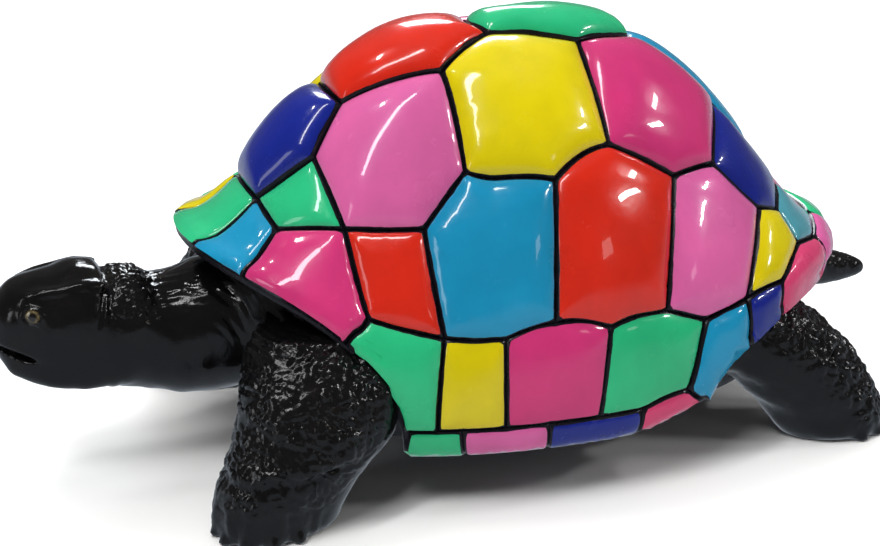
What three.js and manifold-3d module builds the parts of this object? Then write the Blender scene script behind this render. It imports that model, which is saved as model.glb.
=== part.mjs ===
// Painted tortoise ornament: one hollow resin casting, modelled as one solid.
// Millimetres, +Z up, head towards -X, tail towards +X, soles on Z = 0.
// The shell is a flared dome divided into pillowed scutes by sunk seams.
// The skin (neck, head, legs, tail) is made of lofted limbs joined to it.
import * as THREE from 'three';
import { mergeVertices } from 'three/addons/utils/BufferGeometryUtils.js';
import Module from 'manifold-3d';

// ---------------------------------------------------------------- dimensions
const SHIFT_X = 24.5;            // puts the middle of the whole length on X = 0
const RIM_FRONT = 216;           // shell centre to the front rim
const RIM_REAR = 245;            // shell centre to the rear rim
const RIM_SIDE = 150.5;          // half width at the rim
const RIM_POWER = 2.06;          // plan squareness of the rim
const RIM_FLANK_Z = 55;          // rim height along the flank
const FRONT_ARCH = 98;           // rise of the rim over the neck and forelegs
const FRONT_ARCH_DEG = 50;       // half angle of the front arch
const REAR_ARCH = 64;            // rise of the rim over the hind legs
const REAR_ARCH_DEG = 57;        // half angle of the rear arch
const REAR_DIP = 19;             // drop of the rim above the tail
const REAR_TUCK = 0.065, REAR_TUCK_DEG = 34;   // the rim turns in behind
const REAR_FLARE = 10, REAR_FLARE_DEG = 18;    // low swell above the tail
const DOME_TOP = 269;            // seam level at the top of the dome
const DOME_LEAN = 5;             // how far the top leans to the rear
const ROLL_DROP = 18;            // drop of the rolled bridge below the flank rim
const LIP_DROP = 6.5;            // thickness of the free lip over the arches
const PLASTRON_Z = 35;           // underside of the plastron
const PLASTRON_EDGE = 0.80;      // plastron edge as a share of the rim radius
const SOLE_Z = 0;

// ------------------------------------------------------------- shell surface
const rad = (d) => (d * Math.PI) / 180;
const clamp = (x, a, b) => Math.min(b, Math.max(a, x));
const smooth = (x) => { const t = clamp(x, 0, 1); return t * t * (3 - 2 * t); };

function rimRadius(phi) {
  const c = Math.cos(phi), s = Math.sin(phi);
  const a = c < 0 ? RIM_FRONT : RIM_REAR;
  return (Math.abs(c / a) ** RIM_POWER + Math.abs(s / RIM_SIDE) ** RIM_POWER) ** (-1 / RIM_POWER);
}
function rimHeight(phi) {
  const rear = Math.abs(Math.atan2(Math.sin(phi), Math.cos(phi))) * 180 / Math.PI;
  const front = 180 - rear;
  const f = FRONT_ARCH * (1 - clamp(front / FRONT_ARCH_DEG, 0, 1) ** 2.1) ** 0.59;
  const r = REAR_ARCH * (1 - clamp(rear / REAR_ARCH_DEG, 0, 1) ** 2.3) ** 0.62
    - REAR_DIP * Math.exp(-((rear / 25) ** 2));
  return RIM_FLANK_Z + f + r;
}
// the arch reaches into the dome as a softened shape, wider the further in
function innerRim(rho, phi) {
  const w = rad(15) * clamp((1 - rho) / 0.22, 0, 1);
  return [-1, -0.5, 0, 0.5, 1].reduce((m, k) => m + rimHeight(phi + k * w), 0) / 5;
}
// the rolled bridge is deep along the flank and dies away towards the hind leg
function rollDrop(phi) {
  const rear = Math.abs(Math.atan2(Math.sin(phi), Math.cos(phi))) * 180 / Math.PI;
  const arch = smooth((rimHeight(phi) - 57) / 14);
  const roll = 4 + (ROLL_DROP - 4) * smooth((rear - 56) / 22);
  return roll * (1 - arch) + LIP_DROP * arch;
}
function profile(t, phi) {
  const c = Math.cos(phi);
  const bell = (1 + Math.cos(Math.PI * t ** (c < 0 ? 1.75 : 1.56))) / 2;
  const round = (1 - t ** 1.84) ** (1 / 1.84);
  const w = (c < 0 ? 1 : 0.81) * c * c;
  return w * bell + (1 - w) * round;
}
// chart: rho 0 at the top, 1 at the rim, 1..1.1 over the rolled edge
function shellPoint(u, v) {
  const rho = Math.hypot(u, v), phi = Math.atan2(v, u);
  const R = rimRadius(phi), zr = innerRim(rho, phi);
  const t = Math.sin(Math.PI / 2 * Math.min(rho, 1));
  let r = t * R, z = zr + (DOME_TOP - zr) * profile(t, phi);
  const rear = Math.abs(phi) * 180 / Math.PI;
  r *= 1 - REAR_TUCK * smooth((rho - 0.8) / 0.2) * Math.exp(-((rear / REAR_TUCK_DEG) ** 2));
  z += REAR_FLARE * Math.exp(-((rear / REAR_FLARE_DEG) ** 2) - ((rho - 0.77) / 0.09) ** 2);
  if (rho > 1) {
    const q = clamp((rho - 1) / 0.1, 0, 1), arch = smooth((zr - 57) / 14);
    r += (1.5 + 0.5 * arch) * Math.sin(Math.PI * q) - (9 * (1 - arch) + 2 * arch) * q * q;
    z -= rollDrop(phi) * Math.sin(Math.PI / 2 * q);
  }
  return new THREE.Vector3(r * Math.cos(phi) + DOME_LEAN * (1 - t * t), r * Math.sin(phi), z);
}
function shellNormal(u, v) {
  const e = 1e-3;
  const a = shellPoint(u + e, v).sub(shellPoint(u - e, v));
  const b = shellPoint(u, v + e).sub(shellPoint(u, v - e));
  return a.cross(b).normalize();
}

// ------------------------------------------------- seam junctions (rho, deg)
// left side; the right side is its mirror image. Names are the scutes that meet.
const J = {
  n_m1: [1.1, -171.5], n_v1: [0.608, -171.3], m1_m2: [1.1, -159], m1_b0: [0.656, -161.1],
  v1_b0: [0.494, -163.8], v1_v2: [0.391, -167.9], b0_b1: [0.602, -148.5], m2_b1: [0.785, -138.4],
  m2_m3: [1.1, -140.5], a1_b1: [0.555, -132.1], v2_a1: [0.272, -143.7], v2_v3: [0.114, -139.2],
  v3_a2: [0.167, -45.5], a1_a2: [0.454, -124], a2_b2: [0.506, -94.7], a2_a3: [0.433, -71.4],
  a3_b3: [0.501, -51.8], a3_a4: [0.496, -37.1], v3_v4: [0.214, -10], v4_a3: [0.389, -13],
  a4_b4: [0.606, -31.2], a4_b5: [0.623, -24.7], v4_v5: [0.49, -9], v5_a4: [0.565, -12],
  v5_t: [0.715, -9], b5_t: [0.745, -27.6], t_m9: [0.761, -20.6], b5_m9: [0.859, -38],
  b4_b5: [0.834, -47.1], m6_m7: [0.821, -57.7], b3_b4: [0.777, -67.5], b3_m5: [0.805, -83.1],
  b2_b3: [0.781, -97.4], m4_m5: [0.79, -109.4], m3_m4: [0.772, -123.3], m3_p1: [1, -123.5],
  bridge: [1, -129], m4_p1: [1, -118.5], m4_p2: [1, -109], m5_p2: [1, -99], m5_p3: [1, -86.5],
  m6_p3: [1, -75.5], m6_p4: [0.968, -63.5], m7_p4: [1.1, -55.5], m7_m8: [1.1, -48], m8_m9: [1.1, -39],
  m9_m10: [1.1, -20], m10_s: [1.1, -7.5], p1_end: [1.1, -131], p1_p2: [1.1, -118],
  p2_p3: [1.1, -99], p3_p4: [1.1, -76],
};
// seams that bow: the point they pass through halfway
const BOW = { 'a1_a2|a2_b2': [0.477, -111] };
// scutes: corner loop, bulge height; a trailing ' is the mirrored corner
const SIDE = {
  m1: ['n_m1 n_v1 m1_b0 m1_m2', 5], b0: ['n_v1 v1_b0 b0_b1 m1_b0', 6],
  m2: ['m1_m2 m1_b0 b0_b1 m2_b1 m2_m3', 7], b1: ['b0_b1 a1_b1 m3_m4 m2_b1', 7],
  m3: ['m2_m3 m2_b1 m3_m4 m3_p1 bridge p1_end', 6], m4: ['m3_m4 m4_m5 m4_p2 m4_p1 m3_p1', 5],
  m5: ['m4_m5 b2_b3 b3_m5 m5_p3 m5_p2 m4_p2', 5], m6: ['b3_m5 b3_b4 m6_m7 m6_p4 m6_p3 m5_p3', 5],
  m7: ['m6_m7 b4_b5 m7_m8 m7_p4 m6_p4', 5], m8: ['b4_b5 b5_m9 m8_m9 m7_m8', 5],
  m9: ['b5_m9 b5_t t_m9 m9_m10 m8_m9', 5], m10: ['t_m9 v5_t m10_s m9_m10', 5],
  t: ['a4_b5 v5_a4 v5_t t_m9 b5_t', 5], b5: ['a4_b4 a4_b5 b5_t b5_m9 b4_b5', 7],
  b4: ['a3_b3 a3_a4 a4_b4 b4_b5 m6_m7 b3_b4', 9], b3: ['a2_b2 a2_a3 a3_b3 b3_b4 b3_m5 b2_b3', 9],
  b2: ['a1_b1 a1_a2 a2_b2 b2_b3 m4_m5 m3_m4', 9], a1: ['v1_v2 v2_a1 a1_a2 a1_b1 b0_b1 v1_b0', 10],
  a2: ['v2_a1 v2_v3 v3_a2 a2_a3 a2_b2 a1_a2', 11], a3: ['v3_a2 v3_v4 v4_a3 a3_a4 a3_b3 a2_a3', 11],
  a4: ['v4_a3 v4_v5 v5_a4 a4_b5 a4_b4 a3_a4', 7], p1: ['bridge m3_p1 m4_p1 p1_p2 p1_end', 2.5],
  p2: ['m4_p1 m4_p2 m5_p2 p2_p3 p1_p2', 2.5], p3: ['m5_p2 m5_p3 m6_p3 p3_p4 p2_p3', 2.5],
  p4: ['m6_p3 m6_p4 m7_p4 p3_p4', 2.5],
};
const MID = {
  n: ["n_m1 n_v1 n_v1' n_m1'", 5], v1: ["n_v1 v1_b0 v1_v2 v1_v2' v1_b0' n_v1'", 16],
  v2: ["v1_v2 v2_a1 v2_v3 v2_v3' v2_a1' v1_v2'", 13], v3: ["v2_v3 v3_a2 v3_v4 v3_v4' v3_a2' v2_v3'", 14],
  v4: ["v3_v4 v4_a3 v4_v5 v4_v5' v4_a3' v3_v4'", 8], v5: ["v4_v5 v5_a4 v5_t v5_t' v5_a4' v4_v5'", 4],
  s: ["v5_t v5_t' m10_s' m10_s", 5],
};
const SEAM_STEP = 17;            // longest seam segment
const EDGE = 6.5;                // first ring of a scute, in from its seam

// ---------------------------------------------------------------- mesh tools
class Soup {
  constructor() { this.v = []; this.f = []; }
  add(p) { this.v.push(p.x, p.y, p.z); return this.v.length / 3 - 1; }
  tri(a, b, c) { this.f.push(a, b, c); }
  geometry() {
    const g = new THREE.BufferGeometry();
    g.setAttribute('position', new THREE.Float32BufferAttribute(this.v, 3));
    g.setIndex(this.f);
    return g;
  }
}
// closed loft through rings of equal point count, fanned shut at both ends
function loft(rings) {
  const s = new Soup(), n = rings[0].length;
  const ids = rings.map((r) => r.map((p) => s.add(p)));
  for (let k = 0; k + 1 < rings.length; k++)
    for (let i = 0; i < n; i++) {
      const j = (i + 1) % n, a = ids[k][i], b = ids[k][j], c = ids[k + 1][j], d = ids[k + 1][i];
      s.tri(a, b, c); s.tri(a, c, d);
    }
  for (const [k, flip] of [[0, true], [rings.length - 1, false]]) {
    const mid = rings[k].reduce((m, p) => m.add(p), new THREE.Vector3()).divideScalar(n);
    const c = s.add(mid);
    for (let i = 0; i < n; i++) {
      const a = ids[k][i], b = ids[k][(i + 1) % n];
      flip ? s.tri(c, b, a) : s.tri(c, a, b);
    }
  }
  return s.geometry();
}
function volume(g) {
  const p = g.attributes.position, ix = g.index.array;
  const a = new THREE.Vector3(), b = new THREE.Vector3(), c = new THREE.Vector3();
  let v = 0;
  for (let i = 0; i < ix.length; i += 3) {
    a.fromBufferAttribute(p, ix[i]); b.fromBufferAttribute(p, ix[i + 1]); c.fromBufferAttribute(p, ix[i + 2]);
    v += a.dot(b.cross(c)) / 6;
  }
  return v;
}
const wasm = await Module();
wasm.setup();
function solid(geom) {
  geom.deleteAttribute('normal'); geom.deleteAttribute('uv');
  const g = mergeVertices(geom, 1e-4);
  const tris = Uint32Array.from(g.index.array);
  if (volume(g) < 0) for (let i = 0; i < tris.length; i += 3) [tris[i], tris[i + 1]] = [tris[i + 1], tris[i]];
  return new wasm.Manifold(new wasm.Mesh({
    numProp: 3, vertProperties: Float32Array.from(g.attributes.position.array), triVerts: tris,
  }));
}

// --------------------------------------------------------------------- shell
function buildShell() {
  const s = new Soup();
  const at = (name) => {
    const [rho, deg] = J[name.replace("'", '')];
    return [rho, name.endsWith("'") ? -deg : deg];
  };
  const chart = ([rho, deg]) => [rho * Math.cos(rad(deg)), rho * Math.sin(rad(deg))];
  const corner = new Map(), seams = new Map();
  const cornerId = (n) => {
    if (!corner.has(n)) { const c = chart(at(n)); corner.set(n, { c, id: s.add(shellPoint(...c)) }); }
    return corner.get(n);
  };
  // a seam runs straight in the chart, and round the rim where both ends are on it
  function seam(n0, n1) {
    const key = n0 < n1 ? n0 + '|' + n1 : n1 + '|' + n0, flip = !(n0 < n1);
    if (!seams.has(key)) {
      const [a, b] = flip ? [n1, n0] : [n0, n1];
      const A = at(a), B = at(b);
      let d = B[1] - A[1]; if (d > 180) d -= 360; if (d < -180) d += 360;
      const bow = BOW[key.replaceAll("'", '')];
      const M = bow && chart([bow[0], a.endsWith("'") ? -bow[1] : bow[1]]);
      const along = (k) => (A[0] >= 1 && B[0] >= 1
        ? chart([A[0] + (B[0] - A[0]) * k, A[1] + d * k])
        : chart(A).map((x, i) => {
          const y = chart(B)[i], straight = x + (y - x) * k;
          return M ? straight + 4 * k * (1 - k) * (M[i] - (x + y) / 2) : straight;
        }));
      let len = 0, p = shellPoint(...along(0));
      for (let k = 1; k <= 8; k++) { const q = shellPoint(...along(k / 8)); len += q.distanceTo(p); p = q; }
      const n = Math.max(1, Math.round(len / SEAM_STEP)), pts = [cornerId(a)];
      for (let k = 1; k < n; k++) { const c = along(k / n); pts.push({ c, id: s.add(shellPoint(...c)) }); }
      pts.push(cornerId(b));
      seams.set(key, pts);
    }
    const pts = seams.get(key);
    return flip ? [...pts].reverse() : pts;
  }
  const rimEdges = new Map();
  function scute(loop, bulge) {
    const names = loop.split(' '), ring = [];
    names.forEach((n, i) => {
      const pts = seam(n, names[(i + 1) % names.length]);
      pts.slice(0, -1).forEach((p) => ring.push(p));
    });
    const P = ring.map((r) => shellPoint(...r.c));
    const mid = [0, 1].map((k) => ring.reduce((m, r) => m + r.c[k], 0) / ring.length);
    const N = shellNormal(...mid), O = shellPoint(...mid);
    const X = new THREE.Vector3(1, 0, 0).cross(N).normalize(), Y = N.clone().cross(X);
    const flat = (p) => { const d = p.clone().sub(O); return [d.dot(X), d.dot(Y)]; };
    const F = P.map(flat);
    const dist = (p) => {
      const [x, y] = flat(p); let best = 1e9;
      F.forEach(([ax, ay], i) => {
        const [bx, by] = F[(i + 1) % F.length];
        const dx = bx - ax, dy = by - ay, L = dx * dx + dy * dy || 1;
        const k = clamp(((x - ax) * dx + (y - ay) * dy) / L, 0, 1);
        best = Math.min(best, Math.hypot(x - ax - k * dx, y - ay - k * dy));
      });
      return best;
    };
    const inner = dist(O);
    const lift = (c) => {
      const p = shellPoint(...c), d = Math.min(dist(p) / (0.85 * inner), 1);
      return p.addScaledVector(shellNormal(...c), bulge * (1 - (1 - d) ** 2.2) ** 0.6);
    };
    const mix = (a, k) => [a[0] + (mid[0] - a[0]) * k, a[1] + (mid[1] - a[1]) * k];
    const k1 = ring.map((r) => {
      let lo = 0, hi = 0.6;
      for (let i = 0; i < 14; i++) {
        const m = (lo + hi) / 2;
        dist(shellPoint(...mix(r.c, m))) < Math.min(EDGE, 0.4 * inner) ? (lo = m) : (hi = m);
      }
      return Math.min(hi, 0.45);
    });
    const r1 = ring.map((r, i) => s.add(lift(mix(r.c, k1[i]))));
    const r2 = ring.map((r, i) => s.add(lift(mix(r.c, 0.45 + k1[i] * 0.45))));
    const c0 = s.add(lift(mid)), n = ring.length;
    // corners are listed either way round: wind each scute so that it faces out
    let area = 0;
    F.forEach(([x, y], i) => { const [a, b] = F[(i + 1) % n]; area += x * b - a * y; });
    const tri = area > 0 ? (a, b, c) => s.tri(a, b, c) : (a, b, c) => s.tri(a, c, b);
    for (let i = 0; i < n; i++) {
      const j = (i + 1) % n;
      tri(ring[i].id, ring[j].id, r1[j]); tri(ring[i].id, r1[j], r1[i]);
      tri(r1[i], r1[j], r2[j]); tri(r1[i], r2[j], r2[i]);
      tri(r2[i], r2[j], c0);
      if (Math.hypot(...ring[i].c) > 1.0999 && Math.hypot(...ring[j].c) > 1.0999)
        area > 0 ? rimEdges.set(ring[i].id, ring[j]) : rimEdges.set(ring[j].id, ring[i]);
    }
  }
  const mirrored = (loop) => loop.split(' ').map((n) => n + "'").join(' ');
  for (const [loop, h] of Object.values(SIDE)) { scute(loop, h); scute(mirrored(loop), h); }
  for (const [loop, h] of Object.values(MID)) scute(loop, h);
  // underside: lip, wall down to the plastron, flat plastron
  const start = rimEdges.keys().next().value, loop = [];
  for (let id = start; ;) { const nx = rimEdges.get(id); loop.push(nx); id = nx.id; if (id === start) break; }
  const rings = [[1, 0], [0.9, 1], [PLASTRON_EDGE, 2], [0.4, 3]].map(([share, kind]) => loop.map((r) => {
    if (kind === 0) return r.id;
    const phi = Math.atan2(r.c[1], r.c[0]), R = rimRadius(phi) * share, zr = rimHeight(phi);
    const arch = smooth((zr - 57) / 14), over = zr - rollDrop(phi) - PLASTRON_Z;
    const z = kind === 1 ? (PLASTRON_Z + over * 0.7) * (1 - arch) + (zr - LIP_DROP + 1) * arch
      : kind === 2 ? PLASTRON_Z + 0.5 + Math.min(over, 20) * 0.4 * (1 - arch) : PLASTRON_Z;
    return s.add(new THREE.Vector3(R * Math.cos(phi), R * Math.sin(phi), z));
  }));
  const n = loop.length, c = s.add(new THREE.Vector3(0, 0, PLASTRON_Z));
  for (let k = 0; k + 1 < rings.length; k++)
    for (let i = 0; i < n; i++) {
      const j = (i + 1) % n;
      s.tri(rings[k][j], rings[k][i], rings[k + 1][i]); s.tri(rings[k][j], rings[k + 1][i], rings[k + 1][j]);
    }
  for (let i = 0; i < n; i++) s.tri(rings[3][(i + 1) % n], rings[3][i], c);
  return s.geometry();
}

// ---------------------------------------------------------------------- skin
// trunk inside the shell: fills the arches behind the lip
function buildTrunk() {
  const n = 40, rings = [];
  for (const [share, q] of [[0.6, 0], [0.78, 0.07], [0.87, 0.3], [0.9, 0.65], [0.89, 0.88], [0.8, 1]])
    rings.push(Array.from({ length: n }, (_, i) => {
      const phi = (2 * Math.PI * i) / n, R = rimRadius(phi) * share;
      const top = Math.max(rimHeight(phi) - 3, 60), bottom = PLASTRON_Z + 3;
      return new THREE.Vector3(R * Math.cos(phi), R * Math.sin(phi), bottom + (top - bottom) * q);
    }));
  return loft(rings);
}
// cross-section with its own top and bottom heights, square-ish by power
function section(n, half, up, down, power, place) {
  return Array.from({ length: n }, (_, i) => {
    const a = (2 * Math.PI * i) / n, c = Math.cos(a), q = Math.sin(a);
    const y = half * Math.sign(c) * Math.abs(c) ** (2 / power);
    const z = (q > 0 ? up : down) * Math.sign(q) * Math.abs(q) ** (2 / power);
    return place(y, z);
  });
}
// neck and head: [x, top z, bottom z, half width, squareness]
const NECK = [
  [-150, 128, 48, 50, 2.2], [-186, 131, 47, 47, 2.2], [-205, 130, 45, 44, 2.2], [-222, 125, 46, 41, 2.2],
  [-236, 123.5, 50, 39, 2.2], [-250, 131, 53, 37, 2.2], [-260, 131, 55, 35, 2.2], [-264, 129, 56, 34, 2.3],
  [-272, 137, 57, 37, 2.3], [-284, 139, 58, 37.5, 2.3], [-298, 135, 61, 35, 2.3], [-312, 133, 66, 31, 2.3],
  [-322, 130, 72, 26, 2.3], [-331, 122, 80, 19.5, 2.2], [-336.5, 113, 89, 12, 2.1],
];
function buildNeck() {
  return loft(NECK.map(([x, top, bottom, half, power]) => {
    const mid = bottom + (top - bottom) * 0.48;
    return section(24, half, top - mid, mid - bottom, power, (y, z) => new THREE.Vector3(x, y, mid + z));
  }));
}
// limbs: level sections [z, x, |y|, half length, half width, squareness, turn in degrees]
const FORE = [
  [SOLE_Z, -186, 117, 35, 26, 2.3, -16], [5, -186, 117, 39, 29, 2.3, -16], [22, -181, 117, 43, 31, 2.3, -14],
  [38, -172, 116, 46, 33, 2.3, -10], [55, -160, 112, 50, 36, 2.3, -8], [75, -153, 105, 51, 38, 2.3, -8],
  [95, -150, 96, 48, 36, 2.3, -10], [112, -148, 84, 40, 30, 2.2, -14],
];
const HIND = [
  [SOLE_Z, 200, 106, 34, 24, 2.3, 14], [5, 199, 106, 38, 28, 2.3, 14], [20, 193, 104, 42, 31, 2.3, 14],
  [38, 180, 100, 46, 34, 2.3, 12], [58, 164, 94, 50, 37, 2.3, 12], [78, 148, 87, 46, 38, 2.3, 12],
  [92, 136, 80, 38, 34, 2.3, 12],
];
function buildLimb(rows, side) {
  return loft(rows.map(([z, x, y, hx, hy, power, turn]) => section(20, hx, hy, hy, power, (a, b) => {
    const c = Math.cos(rad(turn)), s = Math.sin(rad(turn));
    return new THREE.Vector3(x + a * c - b * s, side * (y + a * s + b * c), z);
  })));
}
// tail: [x, z, half height, half width]
const TAIL = [[205, 84, 20, 24], [232, 78, 17, 19], [252, 74, 13.5, 14.5], [270, 71.5, 10, 10], [283, 70, 6, 6], [287.5, 69.5, 2.5, 2.5]];
function buildTail() {
  return loft(TAIL.map(([x, z, h, w]) => section(14, w, h, h, 2, (a, b) => new THREE.Vector3(x, a, z + b))));
}

// ------------------------------------------------------------------ assembly
const bodies = [
  buildShell(), buildTrunk(), buildNeck(), buildTail(),
  buildLimb(FORE, -1), buildLimb(FORE, 1), buildLimb(HIND, -1), buildLimb(HIND, 1),
].map(solid);
let whole = bodies[0];
for (const b of bodies.slice(1)) whole = whole.add(b);
const out = whole.getMesh();
const geometry = new THREE.BufferGeometry();
geometry.setAttribute('position', new THREE.Float32BufferAttribute(Float32Array.from(out.vertProperties), out.numProp));
geometry.setIndex(Array.from(out.triVerts));
geometry.translate(SHIFT_X, 0, 0);

const tortoise = new THREE.Mesh(geometry, new THREE.MeshStandardMaterial({
  color: 0x2aa6c8, roughness: 0.12, metalness: 0,
}));
tortoise.name = 'tortoise';
const group = new THREE.Group();
group.add(tortoise);
export default group;
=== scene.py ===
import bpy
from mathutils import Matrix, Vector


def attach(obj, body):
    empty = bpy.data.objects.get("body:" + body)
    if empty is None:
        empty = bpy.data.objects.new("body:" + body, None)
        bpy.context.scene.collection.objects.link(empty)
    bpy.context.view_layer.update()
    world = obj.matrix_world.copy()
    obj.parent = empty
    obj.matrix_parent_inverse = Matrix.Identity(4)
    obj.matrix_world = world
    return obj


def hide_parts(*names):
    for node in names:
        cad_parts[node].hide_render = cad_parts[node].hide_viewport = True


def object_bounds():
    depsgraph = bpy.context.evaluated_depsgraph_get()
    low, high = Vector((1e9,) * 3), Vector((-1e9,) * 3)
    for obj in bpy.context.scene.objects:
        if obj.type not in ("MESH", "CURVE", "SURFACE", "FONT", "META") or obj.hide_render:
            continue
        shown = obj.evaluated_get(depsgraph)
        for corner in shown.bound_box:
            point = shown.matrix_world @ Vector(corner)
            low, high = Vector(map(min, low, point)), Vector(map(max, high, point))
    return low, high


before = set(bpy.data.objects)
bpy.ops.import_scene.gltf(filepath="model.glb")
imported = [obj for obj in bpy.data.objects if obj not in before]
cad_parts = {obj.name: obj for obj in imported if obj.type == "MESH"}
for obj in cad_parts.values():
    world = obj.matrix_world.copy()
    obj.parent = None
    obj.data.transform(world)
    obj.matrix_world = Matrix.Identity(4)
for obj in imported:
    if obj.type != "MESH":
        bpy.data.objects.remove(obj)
CAD_BOX = [list(p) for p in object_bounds()]

import math

import bmesh
import bpy
import numpy as np
from mathutils import Matrix, Vector
from mathutils.geometry import delaunay_2d_cdt

# Painted tortoise sculpture. All shapes are worked out in millimetres about
# the middle of the shell (-X head, +X tail, -Y near side, soles z = 0) and
# moved to the row frame, in metres, at the end.
SHIFT_X = 24.5
RIM_FRONT, RIM_REAR, RIM_SIDE, RIM_POWER = 216.0, 245.0, 150.5, 2.06
RIM_FLANK_Z, FRONT_ARCH, FRONT_ARCH_DEG = 55.0, 98.0, 50.0
REAR_ARCH, REAR_ARCH_DEG, REAR_DIP = 64.0, 57.0, 19.0
DOME_TOP, DOME_LEAN, ROLL_DROP, LIP_DROP = 269.0, 5.0, 18.0, 6.5
REAR_TUCK, REAR_TUCK_DEG = 0.065, 34.0      # the rim turns in behind
REAR_FLARE, REAR_FLARE_DEG = 10.0, 18.0     # low swell above the tail
PLASTRON_Z = 35.0
LIP_RHO = 1.02            # front scutes stop here, the black lip runs on
SEAM_STEP = 3.5           # spacing of points along a seam
GRID = 5.0                # spacing of points inside a scute
LINE = 1.80               # half width of the painted black lines


# ------------------------------------------------------------------ small maths
def smooth(x):
    x = np.clip(x, 0.0, 1.0)
    return x * x * (3 - 2 * x)


def ramp(x, a, b):
    return smooth((x - a) / (b - a))


def srgb(r, g, b):
    def one(c):
        c /= 255.0
        return c / 12.92 if c <= 0.04045 else ((c + 0.055) / 1.055) ** 2.4
    return (one(r), one(g), one(b), 1.0)


def wave_set(seed, count=7):
    rng = np.random.default_rng(seed)
    d = rng.normal(size=(count, 3))
    d /= np.linalg.norm(d, axis=1, keepdims=True)
    return d, rng.uniform(0, 2 * np.pi, count), rng.uniform(0.7, 1.45, count)


def waves(P, length, seed, count=7):
    """smooth noise between about -1 and 1; length is the size of a swell in mm"""
    d, ph, fr = wave_set(seed, count)
    out = np.zeros(P.shape[:-1])
    for k in range(count):
        out += np.sin((P @ d[k]) * (2 * np.pi * fr[k] / length) + ph[k])
    return out / math.sqrt(count) * 0.8


def hash3(i, seed):
    """three numbers in 0..1 for each whole-number cell"""
    i = i.astype(np.int64)
    h = (i[..., 0] * 73856093) ^ (i[..., 1] * 19349663) ^ (i[..., 2] * 83492791) ^ (seed * 2654435761)
    out = []
    for k in range(3):
        h = (h * 6364136223846793005 + 1442695040888963407 + k) & 0x7FFFFFFFFFFFFFFF
        out.append(((h >> 24) & 0xFFFFF) / 1048575.0)
    return np.stack(out, -1)


def cells(P, size, seed, stretch=(1, 1, 1)):
    """distances to the nearest and second nearest of scattered points, and a number for each cell"""
    Q = P / (size * np.asarray(stretch))
    base = np.floor(Q).astype(np.int64)
    f1 = np.full(len(Q), 9.0)
    f2 = np.full(len(Q), 9.0)
    tag = np.zeros(len(Q))
    for dx in (-1, 0, 1):
        for dy in (-1, 0, 1):
            for dz in (-1, 0, 1):
                c = base + np.array([dx, dy, dz])
                h = hash3(c, seed)
                d = np.sqrt((((c + 0.15 + 0.7 * h) - Q) ** 2).sum(1))
                near = d < f1
                f2 = np.where(near, f1, np.minimum(f2, d))
                tag = np.where(near, h[:, 0], tag)
                f1 = np.where(near, d, f1)
    return f1, f2, tag


def pebbles(P, size, seed, stretch=(1, 1, 1), groove=0.32):
    """rounded pebbles, 0 in the grooves and up to 1 on top"""
    f1, f2, tag = cells(P, size, seed, stretch)
    edge = np.clip((f2 - f1) / groove, 0, 1)
    dome = np.clip(1 - (f1 / 0.75) ** 2, 0, 1)
    return np.sqrt(edge) * (0.45 + 0.55 * dome) * (0.7 + 0.45 * tag)


def warp(P, amount, length, seed):
    """a soft shift of the points, to bend a regular pattern"""
    return np.stack([waves(P, length, seed + k) for k in range(3)], -1) * amount


def curve(table, col, x):
    """smooth curve through a table's column, without overshoot"""
    t = np.array([r[0] for r in table], float)
    v = np.array([r[col] for r in table], float)
    if t[0] > t[-1]:
        t, v = t[::-1], v[::-1]
    h = np.diff(t)
    s = np.diff(v) / h
    m = np.zeros(len(t))
    for k in range(1, len(t) - 1):
        if s[k - 1] * s[k] > 0:
            w1, w2 = 2 * h[k] + h[k - 1], h[k] + 2 * h[k - 1]
            m[k] = (w1 + w2) / (w1 / s[k - 1] + w2 / s[k])
    m[0], m[-1] = s[0], s[-1]
    x = np.clip(x, t[0], t[-1])
    i = np.clip(np.searchsorted(t, x, side="right") - 1, 0, len(h) - 1)
    q = (x - t[i]) / h[i]
    return ((1 + 2 * q) * (1 - q) ** 2 * v[i] + q * (1 - q) ** 2 * h[i] * m[i]
            + q * q * (3 - 2 * q) * v[i + 1] + q * q * (q - 1) * h[i] * m[i + 1])


# ------------------------------------------------------------------ shell surface
def rim_radius(phi):
    c, s = np.cos(phi), np.sin(phi)
    a = np.where(c < 0, RIM_FRONT, RIM_REAR)
    return (np.abs(c / a) ** RIM_POWER + np.abs(s / RIM_SIDE) ** RIM_POWER) ** (-1 / RIM_POWER)


def rear_deg(phi):
    return np.degrees(np.abs(np.arctan2(np.sin(phi), np.cos(phi))))


def rim_height(phi):
    rear = rear_deg(phi)
    front = 180 - rear
    f = FRONT_ARCH * (1 - np.clip(front / FRONT_ARCH_DEG, 0, 1) ** 2.1) ** 0.59
    r = REAR_ARCH * (1 - np.clip(rear / REAR_ARCH_DEG, 0, 1) ** 2.3) ** 0.62 - REAR_DIP * np.exp(-(rear / 25) ** 2)
    return RIM_FLANK_Z + f + r


def inner_rim(rho, phi):
    w = np.radians(15) * np.clip((1 - rho) / 0.22, 0, 1)
    return sum(rim_height(phi + k * w) for k in np.linspace(-1, 1, 17)) / 17


def roll_drop(phi):
    arch = smooth((rim_height(phi) - 57) / 14)
    roll = 4 + (ROLL_DROP - 4) * smooth((rear_deg(phi) - 56) / 22)
    return roll * (1 - arch) + LIP_DROP * arch


def profile(t, phi):
    c = np.cos(phi)
    bell = (1 + np.cos(np.pi * t ** np.where(c < 0, 1.75, 1.56))) / 2
    rnd = np.clip(1 - t ** 1.84, 0, None) ** (1 / 1.84)
    w = np.where(c < 0, 1.0, 0.81) * c * c
    return w * bell + (1 - w) * rnd


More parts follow.
